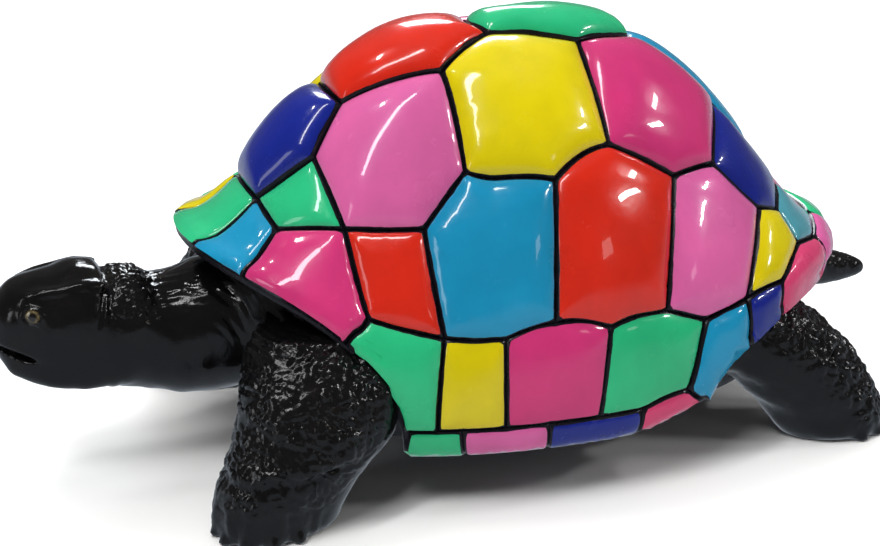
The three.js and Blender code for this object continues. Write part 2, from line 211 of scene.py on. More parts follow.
def shell(c):
    u, v = c[..., 0], c[..., 1]
    rho, phi = np.hypot(u, v), np.arctan2(v, u)
    R, zr = rim_radius(phi), inner_rim(rho, phi)
    t = np.sin(np.pi / 2 * np.minimum(rho, 1))
    r = t * R
    z = zr + (DOME_TOP - zr) * profile(t, phi)
    rear = rear_deg(phi)
    r = r * (1 - REAR_TUCK * smooth((rho - 0.8) / 0.2) * np.exp(-(rear / REAR_TUCK_DEG) ** 2))
    z = z + REAR_FLARE * np.exp(-(rear / REAR_FLARE_DEG) ** 2 - ((rho - 0.77) / 0.09) ** 2)
    q, arch = np.clip((rho - 1) / 0.1, 0, 1), smooth((zr - 57) / 14)
    over = rho > 1
    r = r + over * ((1.5 + 0.5 * arch) * np.sin(np.pi * q) - (9 * (1 - arch) + 2 * arch) * q * q)
    z = z - over * roll_drop(phi) * np.sin(np.pi / 2 * q)
    return np.stack([r * np.cos(phi) + DOME_LEAN * (1 - t * t), r * np.sin(phi), z], -1)


def shell_normal(c):
    e = 1e-3
    a = shell(c + [e, 0]) - shell(c - [e, 0])
    b = shell(c + [0, e]) - shell(c - [0, e])
    n = np.cross(a, b)
    return n / np.linalg.norm(n, axis=-1, keepdims=True)


# seam junctions on the left side: distance out, degrees
J = {
    "n_m1": (LIP_RHO, -171.5), "n_v1": (0.608, -171.3), "m1_m2": (LIP_RHO, -159), "m1_b0": (0.656, -161.1),
    "v1_b0": (0.494, -163.8), "v1_v2": (0.391, -167.9), "b0_b1": (0.602, -148.5), "m2_b1": (0.785, -138.4),
    "m2_m3": (LIP_RHO, -140.5), "m3_end": (LIP_RHO, -131.5), "a1_b1": (0.555, -132.1), "v2_a1": (0.272, -143.7),
    "v2_v3": (0.114, -139.2), "v3_a2": (0.167, -45.5), "a1_a2": (0.454, -124), "a2_b2": (0.506, -94.7),
    "a2_a3": (0.433, -71.4), "a3_b3": (0.501, -51.8), "a3_a4": (0.496, -37.1), "v3_v4": (0.214, -10),
    "v4_a3": (0.389, -13), "a4_b4": (0.606, -31.2), "a4_b5": (0.623, -24.7), "v4_v5": (0.49, -9),
    "v5_a4": (0.565, -12), "v5_t": (0.715, -9), "b5_t": (0.745, -27.6), "t_m9": (0.761, -20.6),
    "b5_m9": (0.859, -38), "b4_b5": (0.834, -47.1), "m6_m7": (0.821, -57.7), "b3_b4": (0.777, -67.5),
    "b3_m5": (0.805, -83.1), "b2_b3": (0.781, -97.4), "m4_m5": (0.79, -109.4), "m3_m4": (0.772, -123.3),
    "m3_p1": (1, -123.5), "bridge": (1, -129), "m4_p1": (1, -118.5), "m4_p2": (1, -109), "m5_p2": (1, -99),
    "m5_p3": (1, -86.5), "m6_p3": (1, -75.5), "m6_p4": (0.968, -63.5), "m7_p4": (1.1, -55.5), "m7_m8": (1.1, -48),
    "m8_m9": (1.1, -39), "m9_m10": (1.1, -20), "m10_s": (1.1, -7.5), "p1_end": (1.1, -131),
    "p1_p2": (1.1, -118), "p2_p3": (1.1, -99), "p3_p4": (1.1, -76),
}
BOW = {("a1_a2", "a2_b2"): (0.477, -111)}
# scutes: corner loop, height of the pillow, colour on the near side, colour on the far side
SIDE = {
    "m1": ("n_m1 n_v1 m1_b0 m1_m2", 5, "sky", "yellow"), "b0": ("n_v1 v1_b0 b0_b1 m1_b0", 6, "green", "red"),
    "m2": ("m1_m2 m1_b0 b0_b1 m2_b1 m2_m3", 7, "magenta", "green"),
    "b1": ("b0_b1 a1_b1 m3_m4 m2_b1", 7, "red", "sky"),
    "m3": ("m2_m3 m2_b1 m3_m4 m3_p1 bridge m3_end", 6, "green", "orchid"),
    "m4": ("m3_m4 m4_m5 m4_p2 m4_p1 m3_p1", 5, "yellow", "red"),
    "m5": ("m4_m5 b2_b3 b3_m5 m5_p3 m5_p2 m4_p2", 5, "magenta", "navy"),
    "m6": ("b3_m5 b3_b4 m6_m7 m6_p4 m6_p3 m5_p3", 5, "green", "yellow"),
    "m7": ("m6_m7 b4_b5 m7_m8 m7_p4 m6_p4", 5, "sky", "magenta"),
    "m8": ("b4_b5 b5_m9 m8_m9 m7_m8", 5, "navy", "green"),
    "m9": ("b5_m9 b5_t t_m9 m9_m10 m8_m9", 5, "rose", "navy"),
    "m10": ("t_m9 v5_t m10_s m9_m10", 5, "orchid", "yellow"),
    "t": ("a4_b5 v5_a4 v5_t t_m9 b5_t", 5, "teal", "red"),
    "b5": ("a4_b4 a4_b5 b5_t b5_m9 b4_b5", 7, "yellow", "sky"),
    "b4": ("a3_b3 a3_a4 a4_b4 b4_b5 m6_m7 b3_b4", 9, "orchid", "green"),
    "b3": ("a2_b2 a2_a3 a3_b3 b3_b4 b3_m5 b2_b3", 9, "red", "orchid"),
    "b2": ("a1_b1 a1_a2 a2_b2 b2_b3 m4_m5 m3_m4", 9, "sky", "green"),
    "a1": ("v1_v2 v2_a1 a1_a2 a1_b1 b0_b1 v1_b0", 10, "orchid", "yellow"),
    "a2": ("v2_a1 v2_v3 v3_a2 a2_a3 a2_b2 a1_a2", 11, "yellow", "magenta"),
    "a3": ("v3_a2 v3_v4 v4_a3 a3_a4 a3_b3 a2_a3", 11, "magenta", "sky"),
    "a4": ("v4_a3 v4_v5 v5_a4 a4_b5 a4_b4 a3_a4", 7, "navy", "orchid"),
    "p1": ("bridge m3_p1 m4_p1 p1_p2 p1_end", 2.5, "green", "sky"),
    "p2": ("m4_p1 m4_p2 m5_p2 p2_p3 p1_p2", 2.5, "orchid", "yellow"),
    "p3": ("m5_p2 m5_p3 m6_p3 p3_p4 p2_p3", 2.5, "navy", "green"),
    "p4": ("m6_p3 m6_p4 m7_p4 p3_p4", 2.5, "rose", "red"),
}
MID = {
    "n": ("n_m1 n_v1 n_v1' n_m1'", 5, "green"), "v1": ("n_v1 v1_b0 v1_v2 v1_v2' v1_b0' n_v1'", 16, "navy"),
    "v2": ("v1_v2 v2_a1 v2_v3 v2_v3' v2_a1' v1_v2'", 13, "red"),
    "v3": ("v2_v3 v3_a2 v3_v4 v3_v4' v3_a2' v2_v3'", 14, "green"),
    "v4": ("v3_v4 v4_a3 v4_v5 v4_v5' v4_a3' v3_v4'", 8, "sky"),
    "v5": ("v4_v5 v5_a4 v5_t v5_t' v5_a4' v4_v5'", 4, "magenta"),
    "s": ("v5_t v5_t' m10_s' m10_s", 5, "green"),
}
PAINTS = ["red", "yellow", "green", "sky", "navy", "magenta", "orchid", "teal", "rose"]
LINE_MAT, SKIN_MAT, EYE_MAT = len(PAINTS), len(PAINTS) + 1, len(PAINTS) + 2


class Soup:
    def __init__(self):
        self.v, self.n, self.f, self.m = [], 0, [], []

    def add(self, P):
        P = np.atleast_2d(P)
        self.v.append(P)
        self.n += len(P)
        return np.arange(self.n - len(P), self.n)

    def tris(self, F, mat):
        F = np.asarray(F, int).reshape(-1, 3)
        self.f.append(F)
        self.m.append(np.full(len(F), mat, int) if np.isscalar(mat) else np.asarray(mat, int))

    def arrays(self):
        return np.concatenate(self.v), np.concatenate(self.f), np.concatenate(self.m)


def within(G, R2):
    """which points G lie inside the polygon R2"""
    inside = np.zeros(len(G), bool)
    xa, ya = R2[:, 0], R2[:, 1]
    xb, yb = np.roll(xa, -1), np.roll(ya, -1)
    for i in range(len(R2)):
        crosses = ((ya[i] > G[:, 1]) != (yb[i] > G[:, 1]))
        if crosses.any():
            xi = (xb[i] - xa[i]) * (G[:, 1] - ya[i]) / (yb[i] - ya[i]) + xa[i]
            inside ^= crosses & (G[:, 0] < xi)
    return inside


def cdt(points, ring):
    """triangles inside a ring of points, as indices into points, wound anticlockwise"""
    points = np.round(np.asarray(points) * 1024) / 1024      # exact in single precision
    co = [Vector((float(x), float(y))) for x, y in points]
    ring = [int(v) for v in ring]
    p = points[ring]
    if (p[:, 0] * np.roll(p[:, 1], -1) - np.roll(p[:, 0], -1) * p[:, 1]).sum() < 0:
        ring = ring[::-1]
    loop = list(zip(ring, ring[1:] + ring[:1]))
    got = delaunay_2d_cdt(co, loop, [], 0, 0.0, True)
    faces, back = got[2], got[3]
    if any(len(b) == 0 for b in back):
        print("triangulation crossed itself")
    F = np.array([[back[i][0] for i in f] for f in faces])
    F = F[within(points[F].mean(1), points[ring])]
    a, b, c = (points[F[:, k]] for k in range(3))
    area = (b[:, 0] - a[:, 0]) * (c[:, 1] - a[:, 1]) - (b[:, 1] - a[:, 1]) * (c[:, 0] - a[:, 0])
    F = F if area.sum() > 0 else F[:, ::-1]
    want = set(zip(ring, ring[1:] + ring[:1]))
    e = set()
    for t in F:
        for k in range(3):
            e.add((int(t[k]), int(t[(k + 1) % 3])))
    edge = {p for p in e if (p[1], p[0]) not in e}
    if edge != want and {(q, p) for p, q in edge} != want:
        print("ring mismatch", len(ring), "extra", len(edge - want), "missing", len(want - edge),
              "tiny", int((np.abs(area) < 1e-3).sum()))
    return F


def at(name):
    rho, deg = J[name.rstrip("'")]
    return rho, -deg if name.endswith("'") else deg


def chart(rho, deg):
    a = np.radians(deg)
    return np.stack([rho * np.cos(a), rho * np.sin(a)], -1)


soup = Soup()
chart_of = {}          # vertex id -> chart place, for points on the upper surface
corners, seams = {}, {}


def keep(c, P=None):
    c = np.atleast_2d(c)
    ids = soup.add(shell(c) if P is None else P)
    for i, q in zip(ids, c):
        chart_of[int(i)] = q
    return ids


def corner(name):
    if name not in corners:
        c = chart(*at(name))
        corners[name] = (c, int(keep(c)[0]))
    return corners[name]


def seam(n0, n1):
    a, b = (n0, n1) if n0 < n1 else (n1, n0)
    if (a, b) not in seams:
        A, B = at(a), at(b)
        d = (B[1] - A[1] + 180) % 360 - 180
        bow = BOW.get((a.rstrip("'"), b.rstrip("'")))
        side = -1 if a.endswith("'") else 1

        def along(k):
            k = np.asarray(k, float)
            if A[0] >= 1 and B[0] >= 1:
                return chart(A[0] + (B[0] - A[0]) * k, A[1] + d * k)
            p, q = chart(*A), chart(*B)
            s = p + (q - p) * k[..., None]
            if bow is not None:
                s = s + (4 * k * (1 - k))[..., None] * (chart(bow[0], bow[1] * side) - (p + q) / 2)
            return s
        P = shell(along(np.linspace(0, 1, 25)))
        n = max(2, int(round(np.linalg.norm(np.diff(P, axis=0), axis=1).sum() / SEAM_STEP)))
        c = along(np.linspace(0, 1, n + 1))
        ids = [corner(a)[1]] + [int(i) for i in keep(c[1:-1])] + [corner(b)[1]]
        seams[(a, b)] = (c, ids)
    c, ids = seams[(a, b)]
    return (c, ids) if n0 < n1 else (c[::-1], ids[::-1])


def scute(loop, bulge, paint, most=99.0):
    names = loop.split(" ")
    parts = [seam(n, names[(i + 1) % len(names)]) for i, n in enumerate(names)]
    rims = [at(n)[0] > 1.0999 and at(names[(i + 1) % len(names)])[0] > 1.0999 for i, n in enumerate(names)]
    C = np.concatenate([c[:-1] for c, _ in parts])
    ids = np.array([i for _, s in parts for i in s[:-1]])
    rim = np.concatenate([[r] * (len(c) - 1) for (c, _), r in zip(parts, rims)])
    lines = [shell(c) for c, _ in parts]
    segA = np.concatenate([L[:-1] for L in lines])
    segB = np.concatenate([L[1:] for L in lines])
    cuts = np.cumsum([0] + [len(L) - 1 for L in lines])[:-1]
    AB = segB - segA
    LL = (AB ** 2).sum(1)

    def sides(P):
        AP = P[:, None, :] - segA
        t = np.clip((AP * AB).sum(2) / LL, 0, 1)
        D = np.sqrt(((AP - t[..., None] * AB) ** 2).sum(2))
        return np.minimum.reduceat(D, cuts, axis=1)

    def dist(c):
        D = sides(shell(c)) + 1e-6
        return (D ** -4.0).sum(1) ** -0.25

    mid = C.mean(0)
    N = shell_normal(mid)
    X = np.cross([1.0, 0, 0], N)
    X /= np.linalg.norm(X)
    Y = np.cross(N, X)
    e = 1e-3
    du = (shell(mid + [e, 0]) - shell(mid - [e, 0])) / (2 * e)
    dv = (shell(mid + [0, e]) - shell(mid - [0, e])) / (2 * e)
    M = np.array([[du @ X, dv @ X], [du @ Y, dv @ Y]])     # chart -> flat mm
    Mi = np.linalg.inv(M)
    F = (C - mid) @ M.T
    x, y = F[:, 0], F[:, 1]
    if (x * np.roll(y, -1) - np.roll(x, -1) * y).sum() < 0:
        C, ids, F = C[::-1], ids[::-1], F[::-1]
        rim = np.roll(rim[::-1], -1)
    # long scutes shrink towards a short spine, the others towards their middle
    w, V = np.linalg.eigh(np.cov(F.T))
    long_ax = V[:, 1]
    a_len, b_len = np.sqrt(w[1] * 3), np.sqrt(w[0] * 3)
    half = max(0.0, a_len - b_len * 1.25)
    T = mid + (np.clip(F @ long_ax, -half, half)[:, None] * long_ax) @ Mi.T
    top = float(dist(T).min())
    inner = float(sides(shell(mid[None])).min())

    def lift(c):
        s = dist(c)
        d = np.minimum(s / (0.85 * inner), 1)
        P = shell(c)
        return P + shell_normal(c) * (bulge * (1 - (1 - d) ** 2.2) ** 0.6)[:, None]

    n = len(C)
    P0 = shell(C)
    wob = waves(P0, 26, 11) * 0.22 + waves(P0, 9, 12) * 0.10
    rings, last = [(ids, C)], 0.0
    for D in (0.8, LINE, 3.0, 4.8, 7.4, 10.5):
        if D > LINE and (D > 0.5 * top or D > most):
            break
        want = np.full(n, D) + (wob if D == LINE else 0)
        lo, hi = np.zeros(n), np.ones(n)
        for _ in range(13):
            m = (lo + hi) / 2
            less = dist(C + (T - C) * m[:, None]) < want
            lo, hi = np.where(less, m, lo), np.where(less, hi, m)
        c = C + (T - C) * hi[:, None]
        rings.append((keep(c, lift(c)), c))
        last = D
    for k in range(len(rings) - 1):
        a, b = rings[k][0], rings[k + 1][0]
        a2, b2 = np.roll(a, -1), np.roll(b, -1)
        mat = np.full(n, PAINTS.index(paint))
        if k < 2:
            mat[~rim] = LINE_MAT
        soup.tris(np.stack([a, a2, b2], 1), mat)
        soup.tris(np.stack([a, b2, b], 1), mat)
    rid, rc = rings[-1]
    R2 = (rc - mid) @ M.T
    lo, hi = R2.min(0), R2.max(0)
    gx, gy = np.meshgrid(np.arange(lo[0], hi[0], GRID), np.arange(lo[1], hi[1], GRID * 0.866), indexing="ij")
    gx = gx + (np.arange(gx.shape[1]) % 2) * GRID / 2
    G = np.stack([gx.ravel(), gy.ravel()], 1)
    G = G[within(G, R2)]
    gc = mid + G @ Mi.T
    if len(gc):
        ok = dist(gc) > last + 0.55 * GRID
        G, gc = G[ok], gc[ok]
    gid = keep(gc, lift(gc)) if len(gc) else np.zeros(0, int)
    pts = np.concatenate([R2, G]) if len(G) else R2
    every = np.concatenate([rid, gid])
    tri = cdt(pts, range(n))
    soup.tris(every[tri], PAINTS.index(paint))


def mirrored(loop):
    return " ".join(n + "'" for n in loop.split(" "))


for name, (loop, h, near, far) in SIDE.items():
    most = 4.9 if name in ("m3", "m7") else 99.0       # these turn under too sharply for wide rings
    scute(loop, h, near, most)
    scute(mirrored(loop), h, far, most)
for loop, h, paint in MID.values():
    scute(loop, h, paint)


def lip():
    """the black front lip, from the front scutes over the edge"""
    names = ["bridge", "m3_end", "m2_m3", "m1_m2", "n_m1"]
    chain = names + [n + "'" for n in names[::-1]]
    C, ids = [], []
    for a, b in zip(chain[:-1], chain[1:]):
        c, s = seam(a, b)
        C.append(c[:-1]); ids += s[:-1]
    c, s = seam("bridge'", "p1_end'")
    C.append(c[:-1]); ids += s[:-1]
    inner_n = len(ids)
    # outer edge, back from right to left, at rho 1.1
    lo = 131.0
    n = 2 * int(round((180 - lo) * 3.1 / SEAM_STEP))
    ang = np.linspace(lo, 360 - lo, n + 1)
    outer = chart(1.1, ang)
    ids.append(corner("p1_end'")[1]); C.append(outer[:1])
    mids = keep(outer[1:-1])
    ids += list(mids); C.append(outer[1:-1])
    ids.append(corner("p1_end")[1]); C.append(outer[-1:])
    c, s = seam("p1_end", "bridge")
    C.append(c[1:-1]); ids += s[1:-1]
    C = np.concatenate(C)
    ring_n = len(ids)
    rows = []
    for r, s in ((1.045, 0.5), (1.072, 0.0)):
        a = np.radians(np.linspace(lo + 1.2 + s, 360 - lo - 1.2 - s, n))
        rows.append(np.stack([r * np.cos(a), r * np.sin(a)], 1))
    rows = np.concatenate(rows)
    rid = keep(rows)
    allc = np.concatenate([C, rows])
    front = np.degrees(np.arctan2(allc[:, 1], -allc[:, 0]))        # 0 straight ahead
    flat = np.stack([front * 3.1, -np.hypot(allc[:, 0], allc[:, 1]) * 95], 1)
    tri = cdt(flat, range(ring_n))
    every = np.concatenate([np.array(ids), rid])
    F = every[tri]
    P = np.concatenate(soup.v)
    nrm = np.cross(P[F[:, 1]] - P[F[:, 0]], P[F[:, 2]] - P[F[:, 0]]).sum(0)
    if nrm[0] > 0:
        F = F[:, ::-1]
    soup.tris(F, LINE_MAT)


lip()


def underside():
    """from the rim in over the bridge and arches to the plastron"""
    loop = [i for i, c in chart_of.items() if abs(math.hypot(c[0], c[1]) - 1.1) < 1e-6]
    used = set(np.unique(np.concatenate(soup.f)).tolist())
    loop = [i for i in loop if i in used]
    loop.sort(key=lambda i: math.atan2(chart_of[i][1], chart_of[i][0]))
    phi = np.array([math.atan2(chart_of[i][1], chart_of[i][0]) for i in loop])
    R, zr = rim_radius(phi), rim_height(phi)
    arch, over = smooth((zr - 57) / 14), zr - roll_drop(phi) - PLASTRON_Z
    P0 = np.concatenate(soup.v)[loop]

    def level(share, z):
        return np.stack([R * share * np.cos(phi), R * share * np.sin(phi), z], 1)
    B = level(0.9, (PLASTRON_Z + over * 0.7) * (1 - arch) + (zr - LIP_DROP + 1) * arch)
    zc = PLASTRON_Z + 0.5 + np.minimum(over, 20) * 0.4 * (1 - arch)
    Cc = level(0.8, zc)
    rings = [np.array(loop)]
    for k in (0.34, 0.67, 1.0):
        rings.append(soup.add(P0 + (B - P0) * k))
    for k in (0.25, 0.5, 0.75, 0.93):
        rings.append(soup.add(B + (Cc - B) * k - [0, 0, 1.2 * math.sin(math.pi * k)] * (1 - arch)[:, None]))
    rings.append(soup.add(Cc))
    for a, b in zip(rings[:-1], rings[1:]):
        a2, b2 = np.roll(a, -1), np.roll(b, -1)
        soup.tris(np.stack([a2, a, b], 1), LINE_MAT)
        soup.tris(np.stack([a2, b, b2], 1), LINE_MAT)
    # plastron plates: a seam down the middle and six across, shallow grooves
    def reach(x, share):
        t = np.linspace(0, math.pi, 721)
        px, py = rim_radius(t) * share * np.cos(t), rim_radius(t) * share * np.sin(t)
        return float(np.interp(x, px[::-1], py[::-1]))
    lines = [np.stack([np.linspace(-158, 180, 86), np.zeros(86)], 1)]
    for x, slant in ((-128, 10), (-88, 4), (-46, -5), (38, 6), (108, -9), (148, -14)):
        w = reach(x, 0.77)
        for s in (-1, 1):
            n = max(3, int(w / 4))
            y = np.linspace(4.2, w, n)
            lines.append(np.stack([x + slant * (y / w) ** 1.5, s * y], 1))
    deep, shoulder = np.concatenate(lines), []
    for L in lines:
        t = np.gradient(L, axis=0)
        t /= np.linalg.norm(t, axis=1, keepdims=True)
        nn = np.stack([-t[:, 1], t[:, 0]], 1)
        shoulder += [L + 2.4 * nn, L - 2.4 * nn]
    shoulder = np.concatenate(shoulder)

    def near(P, Q):
        return np.sqrt(((P[:, None] - Q[None]) ** 2).sum(2)).min(1)
    shoulder = shoulder[near(shoulder, deep) > 2.2]
    g = 6.5
    gx, gy = np.meshgrid(np.arange(-175, 200, g), np.arange(-126, 126, g * 0.866), indexing="ij")
    gx = gx + (np.arange(gx.shape[1]) % 2) * g / 2
    G = np.stack([gx.ravel(), gy.ravel()], 1)
    G = G[near(G, deep) > 5.2]
    pts = np.concatenate([deep, shoulder, G])
    kind = np.concatenate([np.ones(len(deep)), np.zeros(len(shoulder) + len(G))])
    ph = np.arctan2(pts[:, 1], pts[:, 0])
    share = np.hypot(pts[:, 0], pts[:, 1]) / rim_radius(ph)
    ok = share < 0.778
    pts, kind, ph, share = pts[ok], kind[ok], ph[ok], share[ok]
    z2, a2 = rim_height(ph), None
    a2 = smooth((z2 - 57) / 14)
    zi = PLASTRON_Z + 0.5 + np.minimum(z2 - roll_drop(ph) - PLASTRON_Z, 20) * 0.4 * (1 - a2)
    q = np.clip((share - 0.4) / 0.4, 0, 1)
    z = PLASTRON_Z + (zi - PLASTRON_Z) * q * q + 1.3 * kind * (1 - q ** 4)
    pid = soup.add(np.stack([pts[:, 0], pts[:, 1], z], 1))
    flat = np.concatenate([Cc[:, :2], pts])
    every = np.concatenate([rings[-1], pid])
    tri = cdt(flat, range(len(loop)))
    soup.tris(every[tri][:, ::-1], LINE_MAT)


underside()


def closed(F):
    e = np.concatenate([F[:, [0, 1]], F[:, [1, 2]], F[:, [2, 0]]]).astype(np.int64)
    key = e[:, 0] * 10_000_000 + e[:, 1]
    back = e[:, 1] * 10_000_000 + e[:, 0]
    u, cnt = np.unique(key, return_counts=True)
    return int((cnt > 1).sum()), int((~np.isin(back, u)).sum())


V, F, MAT = soup.arrays()
# the hand-laid look of the shell: long, very shallow swells
idx = np.array(sorted(chart_of))
cc = np.array([chart_of[i] for i in idx])
V = V.copy()
fade = 1 - smooth((np.hypot(cc[:, 0], cc[:, 1]) - 0.97) / 0.05)
V[idx] += shell_normal(cc) * ((waves(V[idx], 48, 5) * 0.28 + waves(V[idx], 21, 6) * 0.09) * fade)[:, None]
V[:, 2] = np.minimum(V[:, 2], CAD_BOX[1][2] * 1000 - 0.02)
print("shell", len(V), "verts", len(F), "tris, doubled / open edges", closed(F))


# ------------------------------------------------------------------ skin
# neck and head: x, top z, bottom z, half width, squareness
NECK = [
    (-336.5, 103, 100, 1.5, 2.0), (-336.1, 109, 93, 7.5, 2.0), (-334.6, 116.5, 86, 13.5, 2.1),
    (-331, 122, 80, 19.5, 2.2), (-322, 130, 72, 26, 2.3), (-312, 133, 66, 31, 2.3), (-298, 135, 61, 35, 2.3),
    (-284, 139, 58, 37.3, 2.3), (-272, 137, 56.5, 37, 2.3), (-264, 129, 55, 36.4, 2.3), (-260, 131, 54.5, 36.5, 2.2),
    (-250, 131, 53, 37, 2.2), (-236, 123.5, 50, 39, 2.2), (-222, 125, 46, 41, 2.2), (-205, 130, 45, 44, 2.2),
    (-186, 131, 47, 47, 2.2), (-150, 128, 48, 50, 2.2),
]
# limbs: z, x, |y|, half length, half width, squareness, turn in degrees
FORE = [
    (0, -186, 117, 35, 26, 2.3, -16), (5, -186, 117, 39, 29, 2.3, -16), (22, -181, 117, 43, 31, 2.3, -14),
    (38, -172, 116, 46, 33, 2.3, -10), (55, -160, 112, 50, 36, 2.3, -8), (75, -153, 105, 51, 38, 2.3, -8),
    (95, -150, 96, 48, 36, 2.3, -10), (112, -148, 84, 40, 30, 2.2, -14),
]
HIND = [
    (0, 200, 106, 34, 24, 2.3, 14), (5, 199, 106, 38, 28, 2.3, 14), (20, 193, 104, 42, 31, 2.3, 14),
    (38, 180, 100, 46, 34, 2.3, 12), (58, 164, 94, 50, 37, 2.3, 12), (78, 148, 87, 46, 38, 2.3, 12),
    (92, 136, 80, 38, 34, 2.3, 12),
]
# tail: x, z, half height, half width
TAIL = [(205, 84, 20, 24), (232, 78, 17, 19), (252, 74, 13.5, 14.5), (270, 71.5, 10, 10), (283, 70, 6, 6),
        (286.6, 69.6, 3.2, 3.2), (287.5, 69.5, 0.8, 0.8)]
EYE = np.array([-312.6, -27.6, 115.6])
EYE_N = np.array([-0.38, -0.90, 0.22]) / np.linalg.norm([-0.38, -0.90, 0.22])


def oval(a, b, h, v, power):
    """rough distance to a squared oval"""
    g = (np.abs(a / h) ** power + np.abs(b / v) ** power) ** (1 / power)
    return np.hypot(a, b) * (1 - 1 / np.maximum(g, 1e-4))


def smin(a, b, k):
    h = np.maximum(k - np.abs(a - b), 0) / k
    return np.minimum(a, b) - h * h * k / 4


def capsule(X, Y, Z, pts, r):
    out = None
    for p, q in zip(pts[:-1], pts[1:]):
        p, q = np.array(p, float), np.array(q, float)
        d = q - p
        t = np.clip(((X - p[0]) * d[0] + (Y - p[1]) * d[1] + (Z - p[2]) * d[2]) / (d @ d), 0, 1)
        s = np.sqrt((X - p[0] - t * d[0]) ** 2 + (Y - p[1] - t * d[1]) ** 2 + (Z - p[2] - t * d[2]) ** 2) - r
        out = s if out is None else np.minimum(out, s)
    return out


def limb(X, Y, Z, rows):
    z = Z[0, 0, :]
    cx, cy, hx, hy, pw, tn = (curve(rows, k, z)[None, None, :] for k in range(1, 7))
    c, s = np.cos(np.radians(tn)), np.sin(np.radians(tn))
    dx, dy = X - cx, -Y - cy
    a, b = dx * c + dy * s, -dx * s + dy * c
    return np.maximum(oval(a, b, hx, hy, pw), Z - rows[-1][0])


def nails(X, Y, Z, rows, spots):
    _, cx, cy, hx, hy, pw, tn = rows[1]
    c, s = math.cos(math.radians(tn)), math.sin(math.radians(tn))
    out = None
    for deg, size in spots:
        a, b = hx * math.cos(math.radians(deg)), hy * math.sin(math.radians(deg))
        a, b = a * 0.90, b * 0.90
        px, py = cx + a * c - b * s, cy + a * s + b * c
        ux, uy = (px - cx), (py - cy)
        ln = math.hypot(ux, uy)
        ux, uy = ux / ln, uy / ln
        dx, dy, dz = X - px, -Y - py, Z - 3.4
        along, across = dx * ux + dy * uy, -dx * uy + dy * ux
        g = np.sqrt((along / (size * 0.85)) ** 2 + (across / (size * 0.66)) ** 2 + ((dz + 0.35 * along) / (size * 0.8)) ** 2)
        d = (g - 1) * size * 0.66
        out = d if out is None else np.minimum(out, d)
    return out


def field(X, Y, Z):
    """near half of the skin, Y <= 0; negative inside"""
    x = X[:, 0, 0]
    top, bot, half, pw = (curve(NECK, k, x)[:, None, None] for k in (1, 2, 3, 4))
    mid = bot + (top - bot) * 0.48
    v = np.where(Z > mid, top - mid, mid - bot)
    neck = oval(Y, Z - mid, half, v, pw)
    neck = np.maximum(neck, np.maximum(-336.5 - X, X + 146))
    # cheeks and jaw, brow and temple ridges
    ridge = capsule(X, Y, Z, [(-315, -18.5, 124.5), (-305, -22.5, 127.5), (-294, -24.5, 128.6),
                              (-281, -25.5, 130.4), (-270, -24, 129.0)], 2.6)
    neck = smin(neck, ridge, 5.0)
    jaw = capsule(X, Y, Z, [(-322, -16, 80), (-304, -25, 73.5), (-284, -29, 71), (-262, -27, 72)], 5.0)
    neck = smin(neck, jaw, 10.0)
    # eye socket, lids and eyeball
    ex, ey, ez = X - EYE[0], Y - EYE[1], Z - EYE[2]
    deep = ex * EYE_N[0] + ey * EYE_N[1] + ez * EYE_N[2]
    r = np.sqrt(np.maximum(ex ** 2 + ey ** 2 + ez ** 2 - deep ** 2, 0))
    neck = -smin(-neck, np.sqrt((r / 1.25) ** 2 + (deep - 8.2) ** 2) - 7.6, 3.0)
    up_eye = ez - deep * EYE_N[2]                      # height in the plane of the eye
    re = np.sqrt(np.maximum(r ** 2 - up_eye ** 2, 0) + (up_eye / 0.74) ** 2)
    lids = np.sqrt((re - 6.6) ** 2 + (deep + 0.5) ** 2) - 1.6
    neck = smin(neck, lids, 1.6)
    ball = np.sqrt(ex ** 2 + ey ** 2 + ez ** 2 + 2 * 4.4 * deep + 4.4 ** 2) - 6.4
    neck = np.minimum(neck, ball)
    # mouth: a slit that opens between beak and jaw
    zm = 86.0 + (-311.5 - X) * 0.372
    gap = np.interp(x, [-340, -333, -322, -316, -311.5, -305], [1.5, 1.7, 2.3, 1.9, 0.3, -2.0])[:, None, None]
    slit = np.maximum(np.abs(Z - zm) - gap, -(neck + 8.0))
    front = ramp(-X, 309, 318)
    neck = neck - front * 0.9 * np.exp(-((Z - zm - 4.2) / 2.4) ** 2)
    neck = -smin(-neck, slit, 1.0)
    # trunk behind the lips
    rr, phi = np.hypot(X, Y), np.arctan2(Y, X + 0 * Y)
    ztop = 60 + np.maximum(rim_height(phi) - 63, 0) * ramp(rr, 60, 110)
    q = (Z - 38) / (ztop - 38)
    share = np.interp(q, [0, 0.07, 0.3, 0.65, 0.88, 1], [0.6, 0.78, 0.87, 0.9, 0.89, 0.8])
    trunk = np.maximum((rr - rim_radius(phi) * share) * 0.9, np.maximum(38 - Z, Z - ztop))
    fore, hind = limb(X, Y, Z, FORE), limb(X, Y, Z, HIND)
    fore = smin(fore, nails(X, Y, Z, FORE, ((196, 8.0), (170, 8.6), (143, 8.8), (116, 8.4), (92, 7.6))), 2.6)
    hind = smin(hind, nails(X, Y, Z, HIND, ((62, 7.8), (33, 8.2), (4, 8.2), (-24, 7.6))), 2.6)
    tz, th, tw = (curve(TAIL, k, x)[:, None, None] for k in (1, 2, 3))
    tail = np.maximum(oval(Y, Z - tz, tw, th, 2), np.maximum(X - 287.5, 200 - X))
    f = smin(neck, trunk, 10)
    f = smin(f, fore, 13)
    f = smin(f, hind, 9)
    f = smin(f, tail, 7)
    return np.maximum(f, -Z)


def axis(stops):
    """grid lines with a spacing for each stretch"""
    out = [stops[0][0]]
    for (a, step), (b, _) in zip(stops[:-1], stops[1:]):
        n = max(1, int(round((b - a) / step)))
        out += list(a + (b - a) * np.arange(1, n + 1) / n)
    return np.array(out)


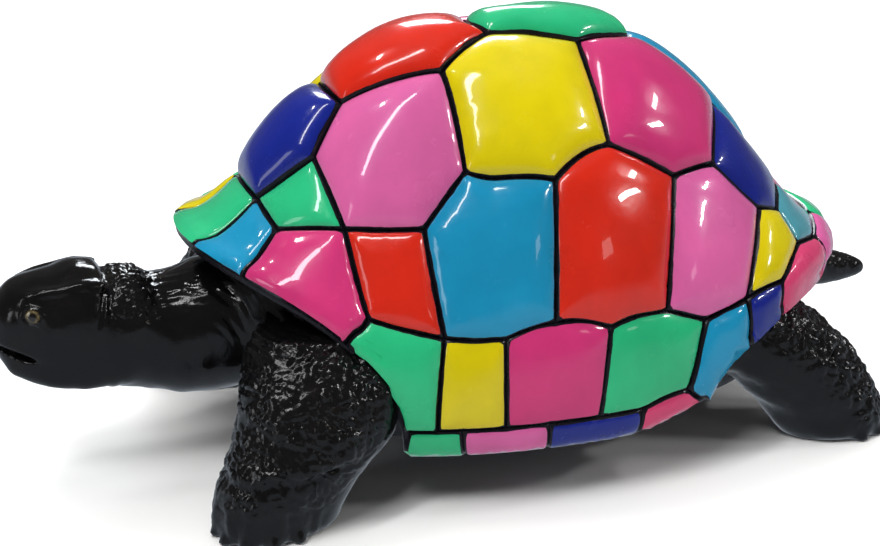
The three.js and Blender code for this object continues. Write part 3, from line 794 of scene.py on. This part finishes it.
def nets(xs, ys, zs, f):
    """smooth closed surface where f changes sign"""
    shape = np.array(f.shape) - 1
    inside = f < 0
    acc, quads = [], []
    for ax in range(3):
        lo = [slice(None)] * 3
        hi = [slice(None)] * 3
        lo[ax], hi[ax] = slice(0, -1), slice(1, None)
        cross = inside[tuple(lo)] != inside[tuple(hi)]
        i = np.argwhere(cross)
        j = i.copy()
        j[:, ax] += 1
        f0, f1 = f[tuple(i.T)], f[tuple(j.T)]
        t = f0 / (f0 - f1)
        P = np.stack([xs[i[:, 0]], ys[i[:, 1]], zs[i[:, 2]]], 1)
        Q = np.stack([xs[j[:, 0]], ys[j[:, 1]], zs[j[:, 2]]], 1)
        P = P + (Q - P) * t[:, None]
        b, c = (ax + 1) % 3, (ax + 2) % 3
        four = []
        for db, dc in ((-1, -1), (0, -1), (0, 0), (-1, 0)):
            k = i.copy()
            k[:, b] += db
            k[:, c] += dc
            four.append((k[:, 0] * shape[1] + k[:, 1]) * shape[2] + k[:, 2])
            acc.append((four[-1], P))
        flip = f0 < 0
        q = np.stack(four, 1)
        q = np.where(flip[:, None], q, q[:, ::-1])
        quads.append(q)
    key = np.concatenate([a for a, _ in acc])
    pos = np.concatenate([p for _, p in acc])
    u, inv = np.unique(key, return_inverse=True)
    cnt = np.bincount(inv)
    Vn = np.stack([np.bincount(inv, pos[:, k]) / cnt for k in range(3)], 1)
    Q = np.searchsorted(u, np.concatenate(quads))
    return Vn, Q, np.stack(np.unravel_index(u, shape), 1)


def vertex_normals(Vn, T):
    n = np.cross(Vn[T[:, 1]] - Vn[T[:, 0]], Vn[T[:, 2]] - Vn[T[:, 0]])
    out = np.stack([np.bincount(T.ravel(), np.repeat(n[:, k], 3), len(Vn)) for k in range(3)], 1)
    return out / np.maximum(np.linalg.norm(out, axis=1, keepdims=True), 1e-9)


def relax(Vn, Q, amount, keepers):
    e = np.concatenate([Q[:, [0, 1]], Q[:, [1, 2]], Q[:, [2, 3]], Q[:, [3, 0]]])
    e = np.concatenate([e, e[:, ::-1]])
    cnt = np.bincount(e[:, 0], minlength=len(Vn))
    av = np.stack([np.bincount(e[:, 0], Vn[e[:, 1], k], len(Vn)) / cnt for k in range(3)], 1)
    out = Vn + (av - Vn) * amount
    out[keepers] = Vn[keepers]
    return out


def skin():
    xs = axis([(-340, 1.25), (-258, 1.5), (-112, 7), (112, 1.6), (290, 0)])
    ys = axis([(-159, 1.5), (0, 0)])
    zs = axis([(-3, 1.5), (0, 1.5), (135, 3), (156, 0)])
    fs = []
    for a in range(0, len(xs), 40):
        X, Y, Z = np.meshgrid(xs[a:a + 40], ys, zs, indexing="ij", sparse=True)
        fs.append(field(X, Y, Z).astype(np.float32))
    f = np.concatenate(fs)
    f = np.concatenate([f, f[:, -2::-1]], 1)
    ys = np.concatenate([ys, -ys[-2::-1]])
    f = f.astype(np.float64) + 1e-5
    for _ in range(8):
        Vn, Q, cell = nets(xs, ys, zs, f)
        e = np.concatenate([Q[:, [0, 1]], Q[:, [1, 2]], Q[:, [2, 3]], Q[:, [3, 0]]])
        u, cnt = np.unique(e[:, 0] * 10_000_000 + e[:, 1], return_counts=True)
        bad = u[cnt > 1]
        if not len(bad):
            break
        # two walls meet in one cell: fill it
        for c in cell[np.unique(np.concatenate([bad // 10_000_000, bad % 10_000_000]))]:
            block = f[c[0]:c[0] + 2, c[1]:c[1] + 2, c[2]:c[2] + 2]
            lift = (zs[c[2]:c[2] + 2] > 0)[None, None, :]
            block[...] = np.where(lift, np.minimum(block, -0.1), block)
    sole = Vn[:, 2] < 0.05
    Vn = relax(Vn, Q, 0.45, sole)
    Vn = relax(Vn, Q, -0.38, sole)
    T = np.concatenate([Q[:, [0, 1, 2]], Q[:, [0, 2, 3]]])
    N = vertex_normals(Vn, T)
    if ((Vn[T[:, 0]] * np.cross(Vn[T[:, 1]], Vn[T[:, 2]])).sum() < 0):
        T = T[:, ::-1]
        N = -N
    # ---- relief, in millimetres along the normal
    x, y, z = Vn.T
    ay = np.abs(y)
    P = Vn
    A = np.stack([x, -ay, z], 1) + np.where(y > 0, 400.0, 0.0)[:, None] * 0
    nx, ny, nz = N.T
    nya = np.where(y > 0, -ny, ny)                      # normal as on the near side
    h = np.zeros(len(Vn))
    # parts of the skin
    head = 1 - ramp(x, -281, -272)
    necky = ramp(x, -274, -268) * (1 - ramp(x, -206, -190)) * (1 - ramp(ay, 52, 62))
    fore = ramp(ay, 58, 74) * (1 - ramp(x, -112, -92)) * (1 - ramp(z, 118, 128))
    hind = ramp(x, 112, 128) * ramp(ay, 36, 52)
    tail = ramp(x, 226, 238) * (1 - ramp(ay, 26, 32)) * ramp(z, 46, 54)
    # crease behind the head
    xc = np.interp(z, [56, 80, 105, 122, 131], [-269.0, -272.5, -275.5, -270.5, -265.0]) + waves(P, 30, 21) * 0.5
    s = x - xc
    crease = -1.0 * np.exp(-(s / 1.3) ** 2) + 0.45 * np.exp(-((s - 3.0) / 2.2) ** 2)
    h += crease * (0.30 + 0.70 * ramp(z, 92, 124))
    # second, softer fold under the chin
    s2 = x - (-262.5 + 0.05 * (z - 60))
    h += -0.6 * np.exp(-(s2 / 1.8) ** 2) * (1 - ramp(z, 62, 84)) * (ay < 60)
    # pebbled patch on the nape
    nape = ramp(x, -269, -263) * (1 - ramp(x, -240, -228)) * ramp(z, 99, 113)
    h += nape * (1.5 * pebbles(P + warp(P, 2.0, 17, 30), 7.0, 31) + 0.8 * pebbles(P, 4.2, 37) - 0.9)
    # long wrinkles on the neck
    arc = -0.58 * ay + 0.78 * z
    wr = ramp(x, -258, -246) * (1 - ramp(x, -212, -198)) * ramp(z, 106, 114) * (1 - ramp(z, 124, 130)) * (1 - ramp(ay, 44, 50))
    line = arc + waves(P, 26, 32) * 1.6 + (x + 230) * 0.05
    h += wr * (0.95 * np.abs(np.sin(math.pi * line / 5.6)) - 0.5) * (0.6 + 0.4 * waves(P, 14, 33))
    # soft upright folds on the side of the neck
    soft = ramp(x, -262, -240) * (1 - ramp(x, -186, -168)) * (1 - ramp(z, 108, 118)) * (1 - ramp(ay, 52, 60))
    h += soft * 0.16 * np.sin(2 * math.pi * (x + 0.18 * z + 3.0 * waves(P, 40, 34)) / 17.0)
    # webbing between neck and shoulder
    sx = -0.771 * x + 0.207 * ay - 0.48 * z
    line = sx + waves(P, 34, 35) * 1.8
    web = ramp(x, -212, -198) * (1 - ramp(x, -150, -138)) * ramp(ay, 22, 34) * (1 - ramp(ay, 104, 122)) * ramp(z, 84, 104)
    fold = np.abs(np.sin(math.pi * line / 6.6))
    h += web * (1.5 * fold - 0.8) * (0.75 + 0.25 * waves(P, 22, 36))
    # forelegs: pebbles, flat rear flange, smoother foot
    flange = ramp(nx, 0.30, 0.62)
    inner_side = ramp(-nya * -1, 0.35, 0.75)
    grow = ramp(z, 16, 34)
    amp = fore * (1 - 0.85 * flange) * (0.25 + 0.75 * grow) * (1 - 0.65 * inner_side) * (1 - 0.45 * web)
    size = np.where(z > 78, 6.6, 7.4)
    W = P + warp(P, 3.2, 24, 45)
    calm = 0.55 + 0.45 * waves(P, 44, 46)
    pb = pebbles(W, 11.0, 41, (1.0, 1.0, 0.85), 0.5)
    pb2 = pebbles(W, 6.0, 42, (1.0, 1.0, 0.9), 0.4)
    h += amp * (1.3 * pb + (1.1 + 0.6 * calm) * pb2 + 0.5 * pebbles(W, 3.9, 48) - 1.5)
    h += fore * (1 - flange) * waves(P, 30, 43) * 0.9 * grow
    # a row of beads above the foot
    zb = 46 + 0.10 * (x + 190) + waves(P, 40, 47) * 1.0
    bead = np.exp(-((z - zb) / 3.2) ** 2) * (1 - ramp(nx, 0.2, 0.5))
    h += fore * bead * (1.3 * np.abs(np.sin((x * 0.8 - ay * 0.45) * math.pi / 6.0)) - 0.2)
    h -= fore * 1.2 * np.exp(-((z - zb + 6.5) / 3.0) ** 2) * (1 - ramp(nx, 0.2, 0.5))
    # upright ridges over the foot
    ang = np.arctan2(ay - 117, x + 186)
    h += fore * (1 - grow) * 0.85 * np.sin(ang * 15 + waves(P, 20, 44)) * (1 - ramp(nx, 0.1, 0.6))
    # hind legs: bigger bumps on the outside and behind, smooth below
    back = ramp(0.78 * nx + 0.62 * nz - 0.25 * nya * 0 + 0.10, -0.12, 0.30)
    W = P + warp(P, 2.6, 24, 55)
    pb = pebbles(W, 10.0, 51, (1, 1, 0.9), 0.45)
    pb2 = pebbles(W, 5.6, 52)
    amp = hind * (0.14 + 0.86 * back) * (0.35 + 0.65 * ramp(z, 8, 22)) * (1 - 0.6 * inner_side)
    h += amp * (2.4 * pb + 1.3 * pb2 + 0.4 * pebbles(W, 3.9, 58) - 1.9)
    h += hind * waves(P, 26, 53) * 0.6
    # tail: small scales on top
    h += tail * (0.35 + 0.65 * ramp(nz, -0.2, 0.4)) * (1.1 * pebbles(P, 4.8, 61, (1.15, 1, 1)) - 0.6) * (1 - ramp(x, 276, 286))
    # faint unevenness of the casting everywhere
    h += 0.16 * waves(P, 15, 71) + 0.22 * waves(P, 38, 72)
    # keep the eye and soles as they are
    E = np.stack([x - EYE[0], -ay - EYE[1], z - EYE[2]], 1)
    er = np.linalg.norm(E, axis=1)
    h *= ramp(er, 8.5, 12.0)
    h *= ramp(z, 0.3, 3.0)
    Vd = Vn + N * h[:, None]
    Vd[:, 2] = np.maximum(Vd[:, 2], 0.0)
    Vd[:, 0] = np.maximum(Vd[:, 0], -336.5)
    mat = np.full(len(T), SKIN_MAT)
    cen = Vd[T].mean(1)
    cen[:, 1] = -np.abs(cen[:, 1])
    d = cen - EYE
    deep = d @ EYE_N
    rad = np.sqrt(np.maximum((d ** 2).sum(1) - deep ** 2, 0))
    mat[(rad < 5.4) & (deep > -1.2) & (deep < 4)] = EYE_MAT
    return Vd, T, mat


SV, SF, SM = skin()
print("skin", len(SV), "verts", len(SF), "tris, doubled / open edges", closed(SF))


# ------------------------------------------------------------------ materials
def principled(name):
    m = bpy.data.materials.new(name)
    m.use_nodes = True
    nt = m.node_tree
    nt.nodes.clear()
    out = nt.nodes.new("ShaderNodeOutputMaterial")
    b = nt.nodes.new("ShaderNodeBsdfPrincipled")
    nt.links.new(b.outputs["BSDF"], out.inputs["Surface"])
    co = nt.nodes.new("ShaderNodeTexCoord")
    return m, nt, b, co


def noise(nt, co, scale, detail=3.0, rough=0.5, stretch=(1, 1, 1)):
    mp = nt.nodes.new("ShaderNodeMapping")
    mp.inputs["Scale"].default_value = stretch
    nt.links.new(co.outputs["Object"], mp.inputs["Vector"])
    n = nt.nodes.new("ShaderNodeTexNoise")
    n.inputs["Scale"].default_value = scale
    n.inputs["Detail"].default_value = detail
    n.inputs["Roughness"].default_value = rough
    nt.links.new(mp.outputs["Vector"], n.inputs["Vector"])
    return n


def rampnode(nt, src, stops):
    r = nt.nodes.new("ShaderNodeValToRGB")
    el = r.color_ramp.elements
    while len(el) < len(stops):
        el.new(0.5)
    for e, (p, c) in zip(el, stops):
        e.position, e.color = p, c
    nt.links.new(src, r.inputs["Fac"])
    return r


def span(nt, src, lo, hi):
    r = nt.nodes.new("ShaderNodeMapRange")
    r.inputs["From Min"].default_value = 0.3
    r.inputs["From Max"].default_value = 0.7
    r.inputs["To Min"].default_value = lo
    r.inputs["To Max"].default_value = hi
    nt.links.new(src, r.inputs["Value"])
    return r


def bump(nt, b, layers):
    prev = None
    for src, dist, strength in layers:
        n = nt.nodes.new("ShaderNodeBump")
        n.inputs["Distance"].default_value = dist
        n.inputs["Strength"].default_value = strength
        nt.links.new(src, n.inputs["Height"])
        if prev is not None:
            nt.links.new(prev.outputs["Normal"], n.inputs["Normal"])
        prev = n
    nt.links.new(prev.outputs["Normal"], b.inputs["Normal"])


def shade(c, k, warm=0.0):
    return (min(1, c[0] * k * (1 + warm)), min(1, c[1] * k), min(1, c[2] * k * (1 - warm)), 1.0)


def paint_material(name, colour):
    """brushed enamel under a thick gloss varnish"""
    m, nt, b, co = principled(name)
    big = noise(nt, co, 14, 4, 0.55)
    strokes = noise(nt, co, 60, 3, 0.6, (1.0, 1.0, 0.25))
    r1 = rampnode(nt, big.outputs["Fac"], [(0.30, shade(colour, 0.86)), (0.52, colour), (0.74, shade(colour, 1.10, 0.02))])
    r2 = rampnode(nt, strokes.outputs["Fac"], [(0.35, (0.93, 0.93, 0.93, 1)), (0.65, (1, 1, 1, 1))])
    mix = nt.nodes.new("ShaderNodeMix")
    mix.data_type = "RGBA"
    mix.blend_type = "MULTIPLY"
    mix.inputs[0].default_value = 0.8
    nt.links.new(r1.outputs["Color"], mix.inputs[6])
    nt.links.new(r2.outputs["Color"], mix.inputs[7])
    nt.links.new(mix.outputs[2], b.inputs["Base Color"])
    rr = span(nt, noise(nt, co, 38, 4, 0.6).outputs["Fac"], 0.16, 0.30)
    nt.links.new(rr.outputs["Result"], b.inputs["Roughness"])
    b.inputs["Specular IOR Level"].default_value = 0.25
    b.inputs["Coat Weight"].default_value = 0.75
    b.inputs["Coat Roughness"].default_value = 0.03
    b.inputs["Coat IOR"].default_value = 1.5
    b.inputs["IOR"].default_value = 1.45
    bump(nt, b, [(noise(nt, co, 260, 2, 0.5).outputs["Fac"], 0.00012, 0.5),
                 (noise(nt, co, 70, 2, 0.5).outputs["Fac"], 0.00035, 0.45)])
    return m


PALETTE = {
    "red": srgb(196, 36, 18), "yellow": srgb(202, 185, 2), "green": srgb(36, 172, 116), "sky": srgb(18, 132, 172),
    "navy": srgb(14, 30, 122), "magenta": srgb(190, 48, 108), "orchid": srgb(198, 90, 148), "teal": srgb(68, 138, 152),
    "rose": srgb(196, 60, 104),
}
MATS = [paint_material("paint_" + n, PALETTE[n]) for n in PAINTS]


def line_material():
    m, nt, b, co = principled("paint_black_line")
    n = noise(nt, co, 90, 4, 0.6, (1, 1, 0.5))
    r = rampnode(nt, n.outputs["Fac"], [(0.3, (0.0035, 0.0035, 0.006, 1)), (0.7, (0.010, 0.009, 0.013, 1))])
    nt.links.new(r.outputs["Color"], b.inputs["Base Color"])
    rr = span(nt, noise(nt, co, 55, 3, 0.6).outputs["Fac"], 0.14, 0.34)
    nt.links.new(rr.outputs["Result"], b.inputs["Roughness"])
    b.inputs["IOR"].default_value = 1.45
    b.inputs["Specular IOR Level"].default_value = 0.34
    bump(nt, b, [(noise(nt, co, 240, 3, 0.6).outputs["Fac"], 0.0003, 0.5)])
    return m


def skin_material():
    m, nt, b, co = principled("gloss_black_skin")
    n = noise(nt, co, 32, 4, 0.6)
    r = rampnode(nt, n.outputs["Fac"], [(0.28, (0.0016, 0.0016, 0.0020, 1)), (0.6, (0.0038, 0.0035, 0.0037, 1)),
                                        (0.8, (0.0066, 0.0056, 0.0052, 1))])
    nt.links.new(r.outputs["Color"], b.inputs["Base Color"])
    rr = span(nt, noise(nt, co, 42, 4, 0.65).outputs["Fac"], 0.08, 0.20)
    sep = nt.nodes.new("ShaderNodeSeparateXYZ")
    nt.links.new(co.outputs["Object"], sep.inputs[0])
    off = nt.nodes.new("ShaderNodeMath")
    off.operation = "ABSOLUTE"
    nt.links.new(sep.outputs["Y"], off.inputs[0])
    leg = nt.nodes.new("ShaderNodeMapRange")
    leg.inputs["From Min"].default_value = 0.045
    leg.inputs["From Max"].default_value = 0.080
    leg.inputs["To Min"].default_value = 0.0
    leg.inputs["To Max"].default_value = 0.05
    nt.links.new(off.outputs[0], leg.inputs["Value"])
    both = nt.nodes.new("ShaderNodeMath")
    both.operation = "ADD"
    nt.links.new(rr.outputs["Result"], both.inputs[0])
    nt.links.new(leg.outputs["Result"], both.inputs[1])
    nt.links.new(both.outputs[0], b.inputs["Roughness"])
    b.inputs["IOR"].default_value = 1.46
    b.inputs["Specular IOR Level"].default_value = 0.42
    fine = noise(nt, co, 420, 3, 0.6)
    mid = noise(nt, co, 130, 3, 0.55)
    bump(nt, b, [(mid.outputs["Fac"], 0.0006, 0.45), (fine.outputs["Fac"], 0.00018, 0.45)])
    return m


def eye_material():
    m, nt, b, co = principled("eye_gloss")
    # rings by the distance from the middle of each eye: dark middle, dull gold ring, black edge; a noise breaks the
    # ring into patches
    sep = nt.nodes.new("ShaderNodeSeparateXYZ")
    nt.links.new(co.outputs["Object"], sep.inputs[0])
    side = nt.nodes.new("ShaderNodeMath")
    side.operation = "ABSOLUTE"
    nt.links.new(sep.outputs["Y"], side.inputs[0])
    place = nt.nodes.new("ShaderNodeCombineXYZ")
    nt.links.new(sep.outputs["X"], place.inputs["X"])
    nt.links.new(side.outputs[0], place.inputs["Y"])
    nt.links.new(sep.outputs["Z"], place.inputs["Z"])
    away = nt.nodes.new("ShaderNodeVectorMath")
    away.operation = "DISTANCE"
    nt.links.new(place.outputs[0], away.inputs[0])
    away.inputs[1].default_value = ((EYE[0] + SHIFT_X + 0.4) / 1000, -EYE[1] / 1000, EYE[2] / 1000)
    far = nt.nodes.new("ShaderNodeMapRange")
    far.inputs["From Min"].default_value = 0.0
    far.inputs["From Max"].default_value = 0.006
    nt.links.new(away.outputs["Value"], far.inputs["Value"])
    rings = rampnode(nt, far.outputs["Result"], [(0.0, srgb(8, 7, 6)), (0.44, srgb(16, 13, 9)), (0.56, srgb(112, 100, 70)),
                                                 (0.68, srgb(84, 72, 46)), (0.77, srgb(22, 18, 12)), (0.86, srgb(9, 9, 9))])
    n = noise(nt, co, 190, 3, 0.65)
    patch = rampnode(nt, n.outputs["Fac"], [(0.44, (0.12, 0.11, 0.10, 1)), (0.58, (1, 1, 1, 1))])
    mix = nt.nodes.new("ShaderNodeMix")
    mix.data_type = "RGBA"
    mix.blend_type = "MULTIPLY"
    mix.inputs[0].default_value = 0.9
    nt.links.new(rings.outputs["Color"], mix.inputs[6])
    nt.links.new(patch.outputs["Color"], mix.inputs[7])
    nt.links.new(mix.outputs[2], b.inputs["Base Color"])
    rr = span(nt, noise(nt, co, 90, 2, 0.5).outputs["Fac"], 0.05, 0.14)
    nt.links.new(rr.outputs["Result"], b.inputs["Roughness"])
    b.inputs["Coat Weight"].default_value = 0.8
    b.inputs["Coat Roughness"].default_value = 0.03
    bump(nt, b, [(noise(nt, co, 300, 2, 0.5).outputs["Fac"], 0.0001, 0.4)])
    return m


MATS += [line_material(), skin_material(), eye_material()]


# ------------------------------------------------------------------ one casting
def to_object(name, V, F, mat):
    P = (V + [SHIFT_X, 0, 0]) / 1000.0
    me = bpy.data.meshes.new(name)
    me.vertices.add(len(P))
    me.vertices.foreach_set("co", P.astype(np.float32).ravel())
    me.loops.add(len(F) * 3)
    me.loops.foreach_set("vertex_index", F.astype(np.int32).ravel())
    me.polygons.add(len(F))
    me.polygons.foreach_set("loop_start", np.arange(0, len(F) * 3, 3, dtype=np.int32))
    for m in MATS:
        me.materials.append(m)
    me.update(calc_edges=True)
    me.polygons.foreach_set("material_index", mat.astype(np.int32))
    me.polygons.foreach_set("use_smooth", np.ones(len(F), bool))
    me.validate()
    ob = bpy.data.objects.new(name, me)
    bpy.context.scene.collection.objects.link(ob)
    return ob


def bake_modifiers(ob):
    bpy.context.view_layer.update()
    dg = bpy.context.evaluated_depsgraph_get()
    me = bpy.data.meshes.new_from_object(ob.evaluated_get(dg))
    ob.modifiers.clear()
    old = ob.data
    ob.data = me
    bpy.data.meshes.remove(old)


def fix_winding(V, F):
    vol = (V[F[:, 0]] * np.cross(V[F[:, 1]], V[F[:, 2]])).sum() / 6
    return F if vol > 0 else F[:, ::-1]


shell_ob = to_object("tortoise_casting", V, fix_winding(V, F), MAT)
skin_ob = to_object("skin_part", SV, fix_winding(SV, SF), SM)
SKIN_BUDGET = 150_000
dec = skin_ob.modifiers.new("thin", "DECIMATE")
dec.ratio = min(1.0, SKIN_BUDGET / len(SF))
bake_modifiers(skin_ob)
print("skin thinned to", len(skin_ob.data.polygons))
join = shell_ob.modifiers.new("union", "BOOLEAN")
join.operation = "UNION"
join.solver = "MANIFOLD"
join.object = skin_ob
bake_modifiers(shell_ob)
bpy.data.objects.remove(skin_ob)
print("union", len(shell_ob.data.vertices), "verts", len(shell_ob.data.polygons), "faces")


def tidy(ob):
    bm = bmesh.new()
    bm.from_mesh(ob.data)
    bmesh.ops.dissolve_degenerate(bm, dist=2e-5, edges=bm.edges)
    bmesh.ops.triangulate(bm, faces=bm.faces[:])
    # drop any loose island
    seen, parts = set(), []
    for v in bm.verts:
        if v.index in seen:
            continue
        stack, group = [v], []
        seen.add(v.index)
        while stack:
            w = stack.pop()
            group.append(w)
            for e in w.link_edges:
                o = e.other_vert(w)
                if o.index not in seen:
                    seen.add(o.index)
                    stack.append(o)
        parts.append(group)
    parts.sort(key=len, reverse=True)
    for g in parts[1:]:
        bmesh.ops.delete(bm, geom=g, context="VERTS")
    hole = [e for e in bm.edges if len(e.link_faces) == 1]
    if hole:
        new = bmesh.ops.holes_fill(bm, edges=hole, sides=0)["faces"]
        bmesh.ops.triangulate(bm, faces=new)
    loose = [e for e in bm.edges if not e.link_faces]
    if loose:
        bmesh.ops.delete(bm, geom=loose, context="EDGES")
    bad = [len(e.link_faces) for e in bm.edges if len(e.link_faces) != 2]
    print("open or shared edges", bad, "islands", [len(p) for p in parts[:6]])
    bm.to_mesh(ob.data)
    bm.free()


tidy(shell_ob)
me = shell_ob.data
me.polygons.foreach_set("use_smooth", np.ones(len(me.polygons), bool))
me.set_sharp_from_angle(angle=math.radians(52))
print("piece", len(me.vertices), "verts", len(me.polygons), "triangles")
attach(shell_ob, "root")
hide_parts("tortoise")


# ------------------------------------------------------------------ floor, light, camera
def floor_material():
    m, nt, b, co = principled("pale_floor")
    n = noise(nt, co, 3.0, 3, 0.5)
    r = rampnode(nt, n.outputs["Fac"], [(0.3, (0.88, 0.88, 0.875, 1)), (0.7, (0.91, 0.91, 0.905, 1))])
    nt.links.new(r.outputs["Color"], b.inputs["Base Color"])
    b.inputs["Roughness"].default_value = 0.75
    b.inputs["IOR"].default_value = 1.3
    return m


fme = bpy.data.meshes.new("floor")
fme.from_pydata([(-9, -9, 0), (9, -9, 0), (9, 12, 0), (-9, 12, 0)], [], [(0, 1, 2, 3)])
fme.materials.append(floor_material())
floor = bpy.data.objects.new("floor", fme)
floor.location.z = -0.0005
bpy.context.scene.collection.objects.link(floor)
floor.visible_glossy = False

world = bpy.data.worlds.new("studio")
bpy.context.scene.world = world
world.use_nodes = True
bg = world.node_tree.nodes["Background"]
bg.inputs["Strength"].default_value = 1.0
wn = world.node_tree
wco = wn.nodes.new("ShaderNodeTexCoord")
wsep = wn.nodes.new("ShaderNodeSeparateXYZ")
wn.links.new(wco.outputs["Generated"], wsep.inputs[0])
wmap = wn.nodes.new("ShaderNodeMapRange")
wmap.inputs["From Min"].default_value = -0.25
wmap.inputs["From Max"].default_value = 0.30
wn.links.new(wsep.outputs["Z"], wmap.inputs["Value"])
wr = wn.nodes.new("ShaderNodeValToRGB")
wr.color_ramp.elements[0].position = 0.30
wr.color_ramp.elements[0].color = (0.42, 0.47, 0.53, 1)
wr.color_ramp.elements[1].position = 0.62
wr.color_ramp.elements[1].color = (0.115, 0.108, 0.105, 1)
wn.links.new(wmap.outputs["Result"], wr.inputs["Fac"])
wn.links.new(wr.outputs["Color"], bg.inputs["Color"])


def toward(az, el, far, about=(0.0, -0.02, 0.2)):
    """a place at a distance, az degrees from the near side towards the tail, el degrees up"""
    a, e = math.radians(az), math.radians(el)
    return (about[0] + far * math.sin(a) * math.cos(e), about[1] - far * math.cos(a) * math.cos(e), about[2] + far * math.sin(e))


def area(name, loc, target, sx, sy, power, colour=(1, 1, 1), mirrored=True):
    L = bpy.data.lights.new(name, "AREA")
    L.shape = "RECTANGLE"
    L.size, L.size_y = sx, sy
    L.energy = power
    L.color = colour
    o = bpy.data.objects.new(name, L)
    o.location = loc
    o.rotation_euler = (Vector(target) - Vector(loc)).to_track_quat("-Z", "Y").to_euler()
    o.visible_glossy = mirrored
    bpy.context.scene.collection.objects.link(o)
    return o


area("key_soft", (-1.6, -1.4, 3.4), (0, 0, 0.1), 1.6, 1.2, 64, (1, 1, 1), False)
area("top_fill", (0.8, 1.8, 4.2), (0.2, 1.0, 0), 4.0, 4.0, 150, (1, 1, 1), False)
area("far_fill", (0.5, 5.5, 4.5), (0.5, 5.0, 0), 6.0, 5.0, 260, (1, 1, 1), False)
# a long ceiling tube running out to the front left, and two small windows on the right
a = math.radians(-60)
tube = area("tube_ceiling", (1.55 * math.sin(a), -1.55 * math.cos(a), 2.7), (1.55 * math.sin(a), -1.55 * math.cos(a), 0), 2.7, 0.20, 34)
tube.rotation_euler = (0, 0, a - math.pi / 2)
area("window_high", toward(77, 38, 2.6), (0, -0.1, 0.2), 0.42, 0.10, 9)
area("window_low", toward(57, 31, 2.6), (0, -0.1, 0.2), 0.40, 0.10, 9)
area("window_back", toward(-118, 62, 2.6), (0, 0, 0.2), 0.30, 0.12, 5)
area("window_far", toward(165, 31, 3.2), (-0.1, 0, 0.2), 0.95, 0.75, 30, (0.90, 0.95, 1.0))
# two dim panels low down, for the sheen on the legs
area("panel_left", toward(-72, 12, 2.5), (0, 0, 0.1), 0.35, 0.9, 3.6, (0.94, 0.97, 1.0))
area("panel_right", toward(30, 22, 2.6), (0, 0, 0.1), 0.35, 0.25, 0.8, (1.0, 0.97, 0.93))

cam_data = bpy.data.cameras.new("camera")
cam = bpy.data.objects.new("camera", cam_data)
bpy.context.scene.collection.objects.link(cam)
az, el, roll = math.radians(-20.645), math.radians(18.368), math.radians(0.69)
back = Vector((math.sin(az) * math.cos(el), -math.cos(az) * math.cos(el), math.sin(el)))
fwd = -back
right = fwd.cross(Vector((0, 0, 1))).normalized()
up = right.cross(fwd)
right2 = right * math.cos(roll) + up * math.sin(roll)
up2 = up * math.cos(roll) - right * math.sin(roll)
rot = Matrix((right2, up2, back)).transposed()
cam.matrix_world = Matrix.Translation(Vector((-0.36267, -1.02758, 0.50179))) @ rot.to_4x4()
cam_data.lens = 70.06
cam_data.sensor_width = 36
cam_data.sensor_fit = "HORIZONTAL"
cam_data.shift_x = -0.0698
cam_data.shift_y = -0.0629
cam_data.clip_end = 60
bpy.context.scene.camera = cam
bpy.context.scene.view_settings.view_transform = "Standard"
